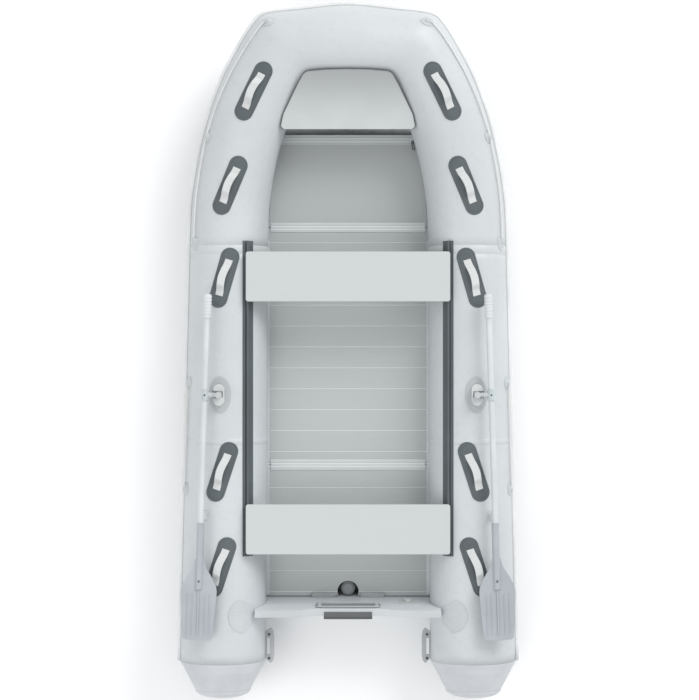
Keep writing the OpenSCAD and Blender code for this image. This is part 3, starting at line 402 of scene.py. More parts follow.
# hull lines, the same as the frame's tubes
hull = {
    "aftX": 0.600, "foreX": 0.571, "chamberY": -1.468, "shoulderY": 0.540, "stemY": 1.454,
    "tubeZ": 0.206, "aftRadius": 0.206, "foreRadius": 0.188, "stemRadius": 0.184, "sheer": 0.150,
    "baffle": 0.973108,
    "stations": [  # share of breadth, setback from stem, plane angle, widening, share of sheer
        (1.000, 0.914, 0, 1.00, 0.00), (0.982, 0.724, 0.5, 1.00, 0.07),
        (0.928, 0.543, 2.5, 1.00, 0.24), (0.850, 0.380, 9, 1.00, 0.46),
        (0.750, 0.236, 21.5, 1.00, 0.67), (0.630, 0.110, 38.5, 1.02, 0.84),
        (0.562, 0.054, 49, 1.07, 0.90), (0.505, 0.029, 53, 1.11, 0.93),
        (0.420, 0.018, 57.5, 1.09, 0.95), (0.236, 0.009, 70, 1.01, 0.98), (0.0, 0.0, 90, 1.00, 1.00)],
}
stemT = len(hull["stations"])


def mix(a, b, k):
    return a + (b - a) * k


def smooth(k):
    k = max(0.0, min(1.0, k))
    return k * k * (3 - 2 * k)


def station(i):
    if i < 0:
        return (1.005, 1.104, 0, 1.00, 0.00)
    if i < stemT:
        return hull["stations"][i]
    share, setback, angle, wide, lift = hull["stations"][2 * (stemT - 1) - i]
    return (-share, setback, 180 - angle, wide, lift)


def spline(a, b, c, d, k):
    return [0.5 * (2 * q + (r - p) * k + (2 * p - 5 * q + 4 * r - s) * k * k
                   + (3 * q - p - 3 * r + s) * k ** 3) for p, q, r, s in zip(a, b, c, d)]


def section(t):  # centre x, y, z, half-breadth, half-height, plane angle
    if t <= 1:
        radius = mix(hull["aftRadius"], hull["foreRadius"], t)
        return (mix(hull["aftX"], hull["foreX"], t), mix(hull["chamberY"], hull["shoulderY"], t),
                hull["tubeZ"], radius, radius, 0.0)
    i = min(int(t) - 1, stemT - 2)
    s = spline(station(i - 1), station(i), station(i + 1), station(i + 2), t - 1 - i)
    radius = mix(hull["foreRadius"], hull["stemRadius"], (t - 1) / (stemT - 1))
    return (s[0] * hull["foreX"], hull["stemY"] - s[1], hull["tubeZ"] + s[4] * hull["sheer"],
            radius * s[3], radius, math.radians(s[2]))


def skin(t, angle, off=0.0):  # 0 outboard, 90 crown, 180 inboard; t past the stem is the port side
    side = 1
    if t > stemT:
        side, t = -1, 2 * stemT - t
    x, y, z, breadth, height, plane = section(t)
    across = (breadth + off) * math.cos(math.radians(angle))
    return Vector((side * (x + across * math.cos(plane)), y + across * math.sin(plane),
                   z + (height + off) * math.sin(math.radians(angle))))


def tAtY(y):
    return (y - hull["chamberY"]) / (hull["shoulderY"] - hull["chamberY"])


def tOf(x, y):  # the section whose plane holds a plan point
    low, high = -0.2, float(stemT)
    for _ in range(22):
        t = (low + high) / 2
        sx, sy, _, _, _, plane = section(t)
        if (y - sy) * math.cos(plane) - (x - sx) * math.sin(plane) > 0:
            low = t
        else:
            high = t
    return (low + high) / 2


def crown(x, y):  # height of the tube's upper face over a plan point
    sx, sy, sz, breadth, height, plane = section(tOf(abs(x), y))
    d = (abs(x) - sx) * math.cos(plane) + (y - sy) * math.sin(plane)
    share = min(1.0, abs(d) / breadth)
    return sz + height * math.sqrt(1 - share * share)


# pieces are made from rows of points
def meshPiece(name, vertices, faces, uvs=None, weld=1e-6):
    mesh = bpy.data.meshes.new(name)
    mesh.from_pydata([tuple(v) for v in vertices], [], faces)
    if uvs:
        layer = mesh.uv_layers.new(name="UVMap")
        for loop in mesh.loops:
            layer.data[loop.index].uv = uvs[loop.vertex_index]
    edit = bmesh.new()
    edit.from_mesh(mesh)
    bmesh.ops.remove_doubles(edit, verts=edit.verts, dist=weld)
    bmesh.ops.recalc_face_normals(edit, faces=edit.faces)
    edit.to_mesh(mesh)
    edit.free()
    for polygon in mesh.polygons:
        polygon.use_smooth = True
    piece = bpy.data.objects.new(name, mesh)
    bpy.context.scene.collection.objects.link(piece)
    return piece


class Rows:  # collects grids of points into one mesh
    def __init__(self):
        self.vertices, self.faces, self.uvs = [], [], []

    def grid(self, rows, around=False, loop=False, capNear=False, capFar=False):
        start, width = len(self.vertices), len(rows[0])
        run = 0.0
        for r, row in enumerate(rows):
            if r:
                run += (row[0] - rows[r - 1][0]).length
            over = 0.0
            for c, point in enumerate(row):
                if c:
                    over += (point - row[c - 1]).length
                self.vertices.append(point)
                self.uvs.append((over, run))
        count = len(rows)
        for r in range(count if loop else count - 1):
            for c in range(width if around else width - 1):
                a, b = start + r * width + c, start + r * width + (c + 1) % width
                e, f = start + (r + 1) % count * width + (c + 1) % width, start + (r + 1) % count * width + c
                self.faces.append((a, b, e, f))
        if capNear:
            self.faces.append(tuple(start + c for c in range(width))[::-1])
        if capFar:
            self.faces.append(tuple(start + (count - 1) * width + c for c in range(width)))

    def piece(self, name, weld=1e-6):
        return meshPiece(name, self.vertices, self.faces, self.uvs, weld)


def settle(piece, slotName, *replaced, body="hull"):
    piece.data.materials.clear()
    piece.data.materials.append(finishes[slotName])
    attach(piece, body)
    if replaced:
        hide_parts(*replaced)
    return piece


def steps(low, high, count):
    return [mix(low, high, i / (count - 1)) for i in range(count)]


# air tubes
tubes = {"around": 72, "tapeLift": 0.00035, "tapeWidth": 0.042}


def tubeRows(ts, off=0.0):
    around = tubes["around"]
    return [[skin(t, 360 * j / around, off) for j in range(around)] for t in ts]


def makeTubes():
    side = Rows()
    side.grid(tubeRows(steps(0.0, hull["baffle"], 40)), around=True, capNear=True, capFar=True)
    starboard = side.piece("starboardTube")
    port = Rows()
    port.grid([[Vector((-p.x, p.y, p.z)) for p in row] for row in tubeRows(steps(0.0, hull["baffle"], 40))],
              around=True, capNear=True, capFar=True)
    portTube = port.piece("portTube")
    bow = Rows()
    ts = steps(hull["baffle"], 2 * stemT - hull["baffle"], 240)
    bow.grid(tubeRows(ts), around=True, capNear=True, capFar=True)
    bowTube = bow.piece("bowTube")
    settle(starboard, "tube_fabric", "starboard_chamber")
    settle(portTube, "tube_fabric", "port_chamber")
    settle(bowTube, "tube_fabric", "bow_chamber")


def makeSeamTapes():
    tapes = Rows()
    lift, edge = tubes["tapeLift"], 0.0007
    length = hull["shoulderY"] - hull["chamberY"]
    joins = [(hull["baffle"], tubes["tapeWidth"] / length)]
    joins += [(tAtY(-0.42), 0.030 / length)]
    for middle, width in joins:
        for mirror in (1, -1):
            rows = []
            for place, off in ((-0.5, -0.0004), (-0.48, lift), (0.48, lift), (0.5, -0.0004)):
                ring = [skin(middle + place * width, 5 * j, off) for j in range(72)]
                rows.append([Vector((mirror * p.x, p.y, p.z)) for p in ring])
            tapes.grid(rows, around=True)
    settle(tapes.piece("seamTapes"), "tube_fabric")


cones = {"length": 0.182, "tipRadius": 0.135, "collar": 0.044, "capStart": 0.139, "around": 96}


def coneProfile():  # distance aft of the chamber and radius
    rim, tip, long = hull["aftRadius"], cones["tipRadius"], cones["length"]
    collar, capStart = cones["collar"], cones["capStart"]
    slope = (rim - tip) / (0.76 * long)
    points = [(0.0, rim + 0.0002), (0.003, rim - 0.0004), (0.010, rim - 0.0032)]
    points += [(collar - 0.002, rim + 0.0002 - slope * collar), (collar, rim - slope * collar),
               (collar + 0.003, rim - slope * (collar + 0.003))]
    points += [(d, rim - slope * d) for d in steps(collar + 0.010, capStart - 0.006, 8)]
    points += [(capStart - 0.002, rim - slope * (capStart - 0.002)), (capStart, tip - 0.0022)]
    for angle in range(4, 91, 6):
        a = math.radians(angle)
        back = capStart + 0.003 + (long - capStart - 0.0036) * math.sin(a)
        points.append((back, (tip - 0.0012) * math.cos(a) ** 0.8 if angle < 88 else 0.0))
    return points


def makeCones():
    shell = Rows()
    for mirror in (1, -1):
        rows = []
        for back, radius in coneProfile():
            ring = []
            for j in range(cones["around"]):
                a = 2 * math.pi * j / cones["around"]
                ring.append(Vector((mirror * (hull["aftX"] + radius * math.cos(a)),
                                    hull["chamberY"] - 0.0003 - back, hull["tubeZ"] + radius * math.sin(a))))
            rows.append(ring)
        shell.grid(rows, around=True, capNear=True)
    settle(shell.piece("coneShells", weld=1e-5), "cone_rubber", "stern_cones")


strake = {"height": 0.104, "thick": 0.012, "grooves": 5}


def strakeSection(t):
    _, _, _, _, height, _ = section(t if t <= stemT else 2 * stemT - t)
    reach = math.degrees(math.asin(strake["height"] / 2 / height))
    points = [skin(t, -reach, 0.0002)]
    for j in range(25):
        k = -1 + 2 * j / 24
        edge = min(1.0, (1 - abs(k)) / 0.12)
        bulge = 0.35 + 0.65 * math.sqrt(max(0.0, edge * (2 - edge)))
        wave = 0.5 + 0.5 * math.cos(2 * math.pi * strake["grooves"] * k)
        groove = 0.10 * wave ** 3 if abs(k) < 0.8 else 0
        points.append(skin(t, reach * k, strake["thick"] * (bulge - groove)))
    points.append(skin(t, reach, 0.0002))
    return points


def makeStrake():
    rows = [strakeSection(t) for t in steps(0.0, 1.0, 24)[:-1] + steps(1.0, 2 * stemT - 1.0, 220)
            + steps(2 * stemT - 1.0, 2.0 * stemT, 24)[1:]]
    band = Rows()
    band.grid(rows, around=True, capNear=True, capFar=True)
    settle(band.piece("rubStrake"), "strake_rubber", "rub_strake")


makeTubes()
makeSeamTapes()
makeCones()
makeStrake()
print("tubes, tapes, cones and strake made")

# bottom: fabric sheet, keel and keel tube
bottom = {"transomY": -1.162, "angle": 240, "stuck": 0.0011, "flat": 0.014, "knee": 0.060,
          "riseFrom": 0.660, "riseRun": 0.76, "low": 0.0033, "rise": 0.2325, "keelTop": 0.1129,
          "keelLow": 0.0046, "keelHalf": 0.055, "keelAround": 36}


def keelRise(y):
    d = max(0.0, y - bottom["riseFrom"]) / bottom["riseRun"]
    return bottom["rise"] * d * d


def bottomRow(t):
    edge = skin(t, bottom["angle"], bottom["stuck"])
    low = bottom["low"] + keelRise(edge.y)
    knots = [(0.0, low), (min(bottom["flat"], edge.x * 0.1), low),
             (min(bottom["knee"], edge.x * 0.3), low + 0.005), (edge.x, edge.z)]
    xs = steps(0.0, edge.x, 13)
    row = []
    for x in xs:
        for (x0, z0), (x1, z1) in zip(knots, knots[1:]):
            if x <= x1 + 1e-9:
                row.append((x, mix(z0, z1, (x - x0) / max(1e-9, x1 - x0))))
                break
    full = [(-x, z) for x, z in row[:0:-1]] + row
    return [Vector((x, edge.y, z)) for x, z in full]


def makeBottom():
    ts = steps(tAtY(bottom["transomY"] - 0.02), 1.0, 16) + steps(1.0, 9.0, 60)[1:]
    under = [bottomRow(t) for t in ts]
    over = [[p + Vector((0, 0, 0.001)) for p in row[::-1]] for row in under]
    sheet = Rows()
    sheet.grid([low + high for low, high in zip(under, over)], around=True, capNear=True, capFar=True)
    settle(sheet.piece("bottomSheet"), "bottom_fabric", "bottom_fabric")
    keel = Rows()
    rows = []
    for y in steps(bottom["transomY"] + 0.045, hull["shoulderY"] + 0.33, 30):
        low = bottom["keelLow"] + 1.1 * keelRise(y)
        middle, half = (low + bottom["keelTop"]) / 2, (bottom["keelTop"] - low) / 2 - 0.0004
        turns = [math.tau * j / bottom["keelAround"] for j in range(bottom["keelAround"])]
        rows.append([Vector((bottom["keelHalf"] * math.cos(a), y, middle + half * math.sin(a))) for a in turns])
    keel.grid(rows, around=True, capNear=True, capFar=True)
    settle(keel.piece("keelTube"), "bottom_fabric", "keel_tube")


makeBottom()
print("bottom made")

# grab handles: pad, webbing and stitches
handles = {
    "rows": [(1.216, 0.770, 27), (0.784, 0.970, 23), (0.352, 1.020, 16), (-0.560, 1.035, 18),
             (-1.007, 1.050, 18)],
    "padLength": 0.290, "padWidth": 0.088, "padThick": 0.0034, "lift": 0.0009,
    "strapLength": 0.176, "strapWidth": 0.036, "strapThick": 0.0026, "arch": 0.0235, "foot": 0.024,
    "lean": 0.010,
}


def handlePlan(h, along, across):
    y, share, tilt = h
    c, s = math.cos(math.radians(tilt)), math.sin(math.radians(tilt))
    return share * hull["foreX"] - along * s + across * c, y + along * c + across * s


def onCrown(x, y, off):
    return Vector((x, y, crown(x, y) + off))


def mirrored(point, side):
    return Vector((side * point.x, point.y, point.z))


def stadiumLoop(halfLength, radius, count=22):  # points round a pad with round ends
    straight = halfLength
    loop = []
    for end in (1, -1):
        for i in range(count):
            a = math.radians((-90 if end == 1 else 90) + 180 * i / (count - 1))
            loop.append((end * straight + radius * math.cos(a), radius * math.sin(a)))
        for k in (0.17, 0.33, 0.5, 0.67, 0.83):
            loop.append((mix(end * straight, -end * straight, k), end * radius))
    return loop


def padInsets(radius, thick):  # inset from the rim and height there
    return [(0.0, -0.0012), (0.0, thick * 0.35), (0.0012, thick * 0.8), (0.003, thick), (0.0075, thick),
            (0.0085, thick * 0.72), (0.0105, thick * 0.72), (0.0115, thick * 0.98), (0.020, thick * 1.0),
            (radius * 0.7, thick), (radius, thick)]


def makeHandlePads():
    pads = Rows()
    radius = handles["padWidth"] / 2
    straight = handles["padLength"] / 2 - radius
    for h in handles["rows"]:
        for side in (1, -1):
            rows = []
            for inset, height in padInsets(radius, handles["padThick"]):
                ring = []
                for along, across in stadiumLoop(straight, radius - inset):
                    x, y = handlePlan(h, along, across)
                    ring.append(mirrored(onCrown(x, y, handles["lift"] + height), side))
                rows.append(ring)
            pads.grid(rows, around=True)
    settle(pads.piece("handlePads", weld=5e-5), "pad_rubber", "handle_pads")


def strapLift(along):  # height of the webbing's underside over the pad line
    half, foot = handles["strapLength"] / 2, handles["foot"]
    rise = smooth((half - foot - abs(along)) / 0.030)
    crest = 0.001 * math.cos(math.pi * along / handles["strapLength"])
    return mix(0.0, handles["arch"] - handles["strapThick"] - 0.0045, rise) + crest * rise


def strapFrame(h, side):
    def lay(along, across, off):
        x, y = handlePlan(h, along, across)
        middle = handlePlan(h, along, 0.0)
        free = smooth(strapLift(along) / 0.010)
        z = mix(crown(x, y), max(crown(*middle), crown(*handlePlan(h, along, 0.010)),
                                 crown(*handlePlan(h, along, -0.010))), free)
        lean = handles["lean"] * smooth(1 - abs(along) / (handles["strapLength"] / 2))
        x, y = handlePlan(h, along, across + lean)
        return mirrored(Vector((x, y, z + 0.0045 + strapLift(along) + off)), side)
    return lay


def makeStraps():
    straps = Rows()
    half, wide, thick = handles["strapLength"] / 2, handles["strapWidth"] / 2, handles["strapThick"]
    edge = [(-wide, 0.0), (-wide, thick * 0.5), (-wide + 0.0008, thick)]
    rim = edge + [(x, thick) for x in steps(-wide, wide, 9)[1:-1]]
    rim += [(wide - 0.0008, thick), (wide, thick * 0.5), (wide, 0.0)]
    ring = rim + [(x, 0.0) for x in steps(wide, -wide, 9)[1:-1]]
    for h in handles["rows"]:
        for side in (1, -1):
            lay = strapFrame(h, side)
            rows = [[lay(along, across, off) for across, off in ring] for along in steps(-half, half, 49)]
            straps.grid(rows, around=True, capNear=True, capFar=True)
    settle(straps.piece("strapWebbing"), "webbing", "handle_straps")


makeHandlePads()
makeStraps()
print("handle pads and straps made")


# Geometry Nodes: one tree lays a small piece along paths, one makes rope, one sets screws
class Graph:
    def __init__(self, name, inputs):
        self.tree = bpy.data.node_groups.new(name, "GeometryNodeTree")
        face = self.tree.interface
        face.new_socket(name="Geometry", in_out="INPUT", socket_type="NodeSocketGeometry")
        for label, kind in inputs:
            face.new_socket(name=label, in_out="INPUT", socket_type=kind)
        face.new_socket(name="Geometry", in_out="OUTPUT", socket_type="NodeSocketGeometry")
        self.start = self.tree.nodes.new("NodeGroupInput")
        self.end = self.tree.nodes.new("NodeGroupOutput")

    def given(self, label):
        return self.start.outputs[label]

    def add(self, kind, settings, values, out=0):
        node = self.tree.nodes.new(kind)
        for key, value in settings.items():
            setattr(node, key, value)
        for key, value in values.items():
            for each in value if isinstance(value, list) else [value]:
                if isinstance(each, bpy.types.NodeSocket):
                    self.tree.links.new(each, node.inputs[key])
                else:
                    node.inputs[key].default_value = each
        return node.outputs[out]

    def sum(self, operation, first, second):
        return self.add("ShaderNodeMath", {"operation": operation}, {0: first, 1: second})

    def stretch(self, vector, length):
        return self.add("ShaderNodeVectorMath", {"operation": "SCALE"}, {0: vector, "Scale": length})

    def pair(self, operation, first, second):
        return self.add("ShaderNodeVectorMath", {"operation": operation}, {0: first, 1: second})

    def finish(self, geometry):
        real = self.add("GeometryNodeRealizeInstances", {}, {"Geometry": geometry})
        painted = self.add(
            "GeometryNodeSetMaterial", {}, {"Geometry": real, "Material": self.given("Material")})
        self.tree.links.new(painted, self.end.inputs["Geometry"])
        return self.tree


def makeRopeTree():
    graph = Graph("laidRopeTree", [
        ("Material", "NodeSocketMaterial"), ("Strand Radius", "NodeSocketFloat"),
        ("Lay Radius", "NodeSocketFloat"), ("Pitch", "NodeSocketFloat"), ("Step", "NodeSocketFloat")])
    curve = graph.add("GeometryNodeMeshToCurve", {}, {"Mesh": graph.given("Geometry")})
    fine = graph.add("GeometryNodeResampleCurve", {"mode": "LENGTH"},
                     {"Curve": curve, "Length": graph.given("Step")})
    tangent = graph.add("GeometryNodeInputTangent", {}, {})
    normal = graph.add("GeometryNodeInputNormal", {}, {})
    side = graph.pair("CROSS_PRODUCT", tangent, normal)
    run = graph.add("GeometryNodeSplineParameter", {}, {}, out="Length")
    turns = graph.sum("MULTIPLY", graph.sum("DIVIDE", run, graph.given("Pitch")), math.tau)
    ring = graph.add(
        "GeometryNodeCurvePrimitiveCircle", {}, {"Resolution": 7, "Radius": graph.given("Strand Radius")})
    strands = []
    for third in range(3):
        turn = graph.sum("ADD", turns, third * math.tau / 3)
        out = graph.pair("ADD", graph.stretch(normal, graph.sum("COSINE", turn, 0.0)),
                         graph.stretch(side, graph.sum("SINE", turn, 0.0)))
        moved = graph.add("GeometryNodeSetPosition", {}, {
            "Geometry": fine, "Offset": graph.stretch(out, graph.given("Lay Radius"))})
        strands.append(graph.add("GeometryNodeCurveToMesh", {}, {
            "Curve": moved, "Profile Curve": ring, "Fill Caps": True}))
    return graph.finish(graph.add("GeometryNodeJoinGeometry", {}, {"Geometry": strands}))


def makeStitchTree():
    graph = Graph("stitchTree", [
        ("Material", "NodeSocketMaterial"), ("Pitch", "NodeSocketFloat"), ("Size", "NodeSocketVector")])
    curve = graph.add("GeometryNodeMeshToCurve", {}, {"Mesh": graph.given("Geometry")})
    spots = graph.add("GeometryNodeResampleCurve", {"mode": "LENGTH"},
                      {"Curve": curve, "Length": graph.given("Pitch")})
    tangent = graph.add("GeometryNodeInputTangent", {}, {})
    turned = graph.add("FunctionNodeAlignRotationToVector", {"axis": "X"}, {"Vector": tangent})
    bead = graph.add("GeometryNodeMeshUVSphere", {}, {"Segments": 6, "Rings": 4, "Radius": 0.5})
    return graph.finish(graph.add("GeometryNodeInstanceOnPoints", {}, {
        "Points": spots, "Instance": bead, "Rotation": turned, "Scale": graph.given("Size")}))


def makeScrewTree():  # a head at the foot of each short stem, facing along it
    graph = Graph("screwTree", [
        ("Material", "NodeSocketMaterial"), ("Radius", "NodeSocketFloat"), ("Height", "NodeSocketFloat")])
    curve = graph.add("GeometryNodeMeshToCurve", {}, {"Mesh": graph.given("Geometry")})
    foot = graph.add("GeometryNodeCurveEndpointSelection", {}, {"Start Size": 1, "End Size": 0})
    tangent = graph.add("GeometryNodeInputTangent", {}, {})
    turned = graph.add("FunctionNodeAlignRotationToVector", {"axis": "Z"}, {"Vector": tangent})
    head = graph.add("GeometryNodeMeshCone", {}, {
        "Vertices": 14, "Radius Top": graph.sum("MULTIPLY", graph.given("Radius"), 0.66),
        "Radius Bottom": graph.given("Radius"), "Depth": graph.given("Height")})
    socket = graph.add("GeometryNodeMeshCone", {}, {
        "Vertices": 6, "Radius Top": graph.sum("MULTIPLY", graph.given("Radius"), 0.30),
        "Radius Bottom": graph.sum("MULTIPLY", graph.given("Radius"), 0.42),
        "Depth": graph.sum("MULTIPLY", graph.given("Height"), 1.35)})
    both = graph.add("GeometryNodeJoinGeometry", {}, {"Geometry": [head, socket]})
    return graph.finish(graph.add("GeometryNodeInstanceOnPoints", {}, {
        "Points": curve, "Selection": foot, "Instance": both, "Rotation": turned}))


def runTree(name, paths, tree, sizes):  # runs a tree on path points and gives a plain mesh piece
    vertices, edges = [], []
    for path in paths:
        start = len(vertices)
        vertices += [tuple(p) for p in path]
        edges += [(start + i, start + i + 1) for i in range(len(path) - 1)]
    source = bpy.data.meshes.new(name + "Path")
    source.from_pydata(vertices, edges, [])
    carrier = bpy.data.objects.new(name + "Path", source)
    bpy.context.scene.collection.objects.link(carrier)
    modifier = carrier.modifiers.new("layout", "NODES")
    modifier.node_group = tree
    for item in tree.interface.items_tree:
        if item.item_type == "SOCKET" and item.in_out == "INPUT" and item.name in sizes:
            modifier[item.identifier] = sizes[item.name]
    carrier.update_tag()
    evaluated = carrier.evaluated_get(bpy.context.evaluated_depsgraph_get())
    mesh = bpy.data.meshes.new_from_object(evaluated)
    mesh.name = name
    for polygon in mesh.polygons:
        polygon.use_smooth = True
    carrier.modifiers.remove(modifier)
    bpy.data.objects.remove(carrier)
    piece = bpy.data.objects.new(name, mesh)
    bpy.context.scene.collection.objects.link(piece)
    return piece


ropeTree, stitchTree, screwTree = makeRopeTree(), makeStitchTree(), makeScrewTree()


def makeStrapStitches():
    half, wide, foot = handles["strapLength"] / 2, handles["strapWidth"] / 2, handles["foot"]
    paths = []
    top = handles["strapThick"] + 0.0001
    for h in handles["rows"]:
        for side in (1, -1):
            lay = strapFrame(h, side)
            for end in (1, -1):
                a, b, w = end * (half - 0.004), end * (half - foot + 0.001), wide - 0.004
                corners = [(a, -w), (a, w), (b, w), (b, -w), (a, -w), (b, w)]
                corners += [(b, -w), (a, w)]
                for (a0, c0), (a1, c1) in zip(corners, corners[1:]):
                    paths.append([lay(mix(a0, a1, k), mix(c0, c1, k), top) for k in steps(0, 1, 5)])
    stitches = runTree("strapStitches", paths, stitchTree, {
        "Material": finishes["rope_fibre"], "Pitch": 0.0038, "Size": (0.0028, 0.0008, 0.0006)})
    settle(stitches, "rope_fibre")


makeStrapStitches()
print("stitches made")

# lifelines and their guides
lifeline = {
    "diameter": 0.008, "rise": 0.0099, "pitch": 0.030, "guideRadius": 0.029,
    "bowRoute": [(8.1, 46, 1), (7.4, 45, 0.85), (6.6, 44, 0.7), (5.8, 42, 0.65), (5, 39, 0.7),
                 (4.3, 37, 0.85), (3.55, 35, 1), (2.8, 35.5, 0.9), (1.9, 36, 0.9), (1, 36, 1)],
    "aftRoute": [(tAtY(-0.144), 27, 1), (tAtY(-0.400), 25, 0.8), (tAtY(-0.648), 24, 1)],
    "bowGuides": (0, 6, 9), "aftGuides": (0, 2),
}


def routeLine(route, between):
    last = len(route) - 1
    spots = []
    for i in range(last):
        for k in range(between):
            around = (route[max(0, i - 1)], route[i], route[i + 1], route[min(last, i + 2)])
            spots.append(spline(*around, k / between))
    spots.append(route[last])
    return [skin(t, angle, lifeline["rise"] * share) for t, angle, share in spots]


def makeLifelines():
    paths = []
    for route, between in ((lifeline["bowRoute"], 12), (lifeline["aftRoute"], 16)):
        for side in (1, -1):
            paths.append([mirrored(p, side) for p in routeLine(route, between)])
    lay = lifeline["diameter"] / 2
    rope = runTree("lifelines", paths, ropeTree, {
        "Material": finishes["rope_fibre"], "Strand Radius": lay * 0.50, "Lay Radius": lay * 0.50,
        "Pitch": lifeline["pitch"], "Step": 0.0035})
    settle(rope, "rope_fibre", "grab_ropes")


def patchPoint(t, angle, across, along, off):  # a point on the tube beside (t, angle), in metres from it
    reach = (skin(t + 0.02, angle) - skin(t - 0.02, angle)).length / 0.04
    turn = math.degrees(across / section(min(t, 2 * stemT - t))[4])
    return skin(t + along / reach, angle + turn, off)


def makeRopeGuides():
    guides = Rows()
    radius = lifeline["guideRadius"]
    spots = [lifeline["bowRoute"][i] for i in lifeline["bowGuides"]]
    spots += [lifeline["aftRoute"][i] for i in lifeline["aftGuides"]]
    for t, angle, share in spots:
        eye = lifeline["rise"] * share
        profile = [(1.0, -0.0006), (1.0, 0.0022), (0.965, 0.0038), (0.90, 0.0042), (0.84, 0.0034),
                   (0.78, 0.0040), (0.64, 0.0044), (0.55, 0.0052), (0.46, eye * 0.75), (0.38, eye + 0.0035),
                   (0.28, eye + 0.0052), (0.12, eye + 0.0056), (0.0, eye + 0.0056)]
        for side in (1, -1):
            rows = []
            for share2, height in profile:
                ring = []
                for j in range(40):
                    a = math.tau * j / 40
                    ring.append(mirrored(patchPoint(
                        t, angle, radius * 0.92 * share2 * math.cos(a), radius * 1.12 * share2 * math.sin(a),
                        height), side))
                rows.append(ring)
            guides.grid(rows, around=True)
    settle(guides.piece("ropeGuides", weld=1e-5), "guide_rubber", "rope_guides")


makeLifelines()
makeRopeGuides()
print("lifelines made")

# bench rail strips, oarlock patches and transom shells
strips = {"railX": 0.472, "foreY": 0.526, "aftY": -0.959, "halfWidth": 0.024, "thick": 0.0024,
          "lockX": 0.602, "lockY": -0.198, "lockHalf": (0.053, 0.086)}


def makeRailStrips():
    band = Rows()
    half, thick = strips["halfWidth"], strips["thick"]
    across = [(-half, -0.0008), (-half, thick * 0.6), (-half + 0.001, thick), (-half + 0.004, thick),
              (-half + 0.0048, thick * 0.7), (-half + 0.0062, thick * 0.7), (-half + 0.007, thick)]
    across += [(x, thick) for x in steps(-half + 0.012, half - 0.012, 7)]
    across += [(-x, z) for x, z in across[6::-1]]
    for side in (1, -1):
        rows = []
        ys = [strips["aftY"]] + steps(strips["aftY"], strips["foreY"], 60) + [strips["foreY"]]
        for i, y in enumerate(ys):
            end = i in (0, 61)
            rows.append([mirrored(onCrown(strips["railX"] + x, y, -0.0008 if end else 0.0006 + z), side)
                         for x, z in across])
        band.grid(rows)
    settle(band.piece("railStrips", weld=1e-6), "rail_rubber", "rail_strips")


def makeLockPatches():
    patches = Rows()
    wide, long = strips["lockHalf"]
    profile = [(0.0, -0.001), (0.0, 0.0018), (0.0012, 0.003), (0.004, 0.0032), (0.012, 0.0032),
               (0.0135, 0.0026), (0.0155, 0.0026), (0.017, 0.0032), (0.030, 0.0032), (0.045, 0.0032),
               (0.053, 0.0032)]
    for side in (1, -1):
        rows = []
        for inset, height in profile:
            ring = []
            for j in range(64):
                a = math.tau * j / 64
                x = strips["lockX"] + max(0.0, wide - inset) * math.cos(a)
                share = long / wide if inset > 0.03 else 1
                y = strips["lockY"] + max(0.0, long - inset * share) * math.sin(a)
                ring.append(mirrored(onCrown(x, y, 0.0006 + height), side))
            rows.append(ring)
        patches.grid(rows, around=True)
    settle(patches.piece("oarlockPatches", weld=1e-5), "lock_patch_rubber", "oarlock_patches")


shells = {"apex": (0.400, -1.232), "from": 0.045, "reach": 0.162, "droop": 0.037, "middle": -5, "spread": 40,
          "low": -45, "high": 34, "ribs": 12}


def makeTransomShells():
    fans = Rows()
    ax, ay = shells["apex"]
    for side in (1, -1):
        rows = []
        count = 97
        for i, a in enumerate(steps(shells["low"], shells["high"], count)):
            beat = math.cos(math.pi * shells["ribs"] * i / (count - 1)) ** 2  # 1 on a rib, 0 between ribs
            reach = shells["reach"] - shells["droop"] * ((a - shells["middle"]) / shells["spread"]) ** 2
            start = shells["from"] / math.cos(math.radians(a))
            row = []
            shares = [0.0, 0.0, 0.03] + steps(0.08, 0.90, 14) + [0.93, 0.955, 0.985, 1.0, 1.0]
            for j, k in enumerate(shares):
                span = mix(start, reach, k)
                rim = j in (0, len(shares) - 1) or i in (0, count - 1)
                inward = smooth(k * 4) * smooth((0.94 - k) * 9) * smooth(min(i, count - 1 - i) / 5)
                body = 0.0020 + 0.0011 * beat * inward - 0.0006 * (1 if 0.9 < k < 0.96 else 0)
                x, y = ax + span * math.cos(math.radians(a)), ay + span * math.sin(math.radians(a))
                row.append(mirrored(onCrown(x, y, -0.0006 if rim else 0.0006 + body), side))
            rows.append(row)
        fans.grid(rows)
    settle(fans.piece("transomShells"), "shell_rubber", "transom_shells")


makeRailStrips()
makeLockPatches()
makeTransomShells()
print("strips, patches and shells made")


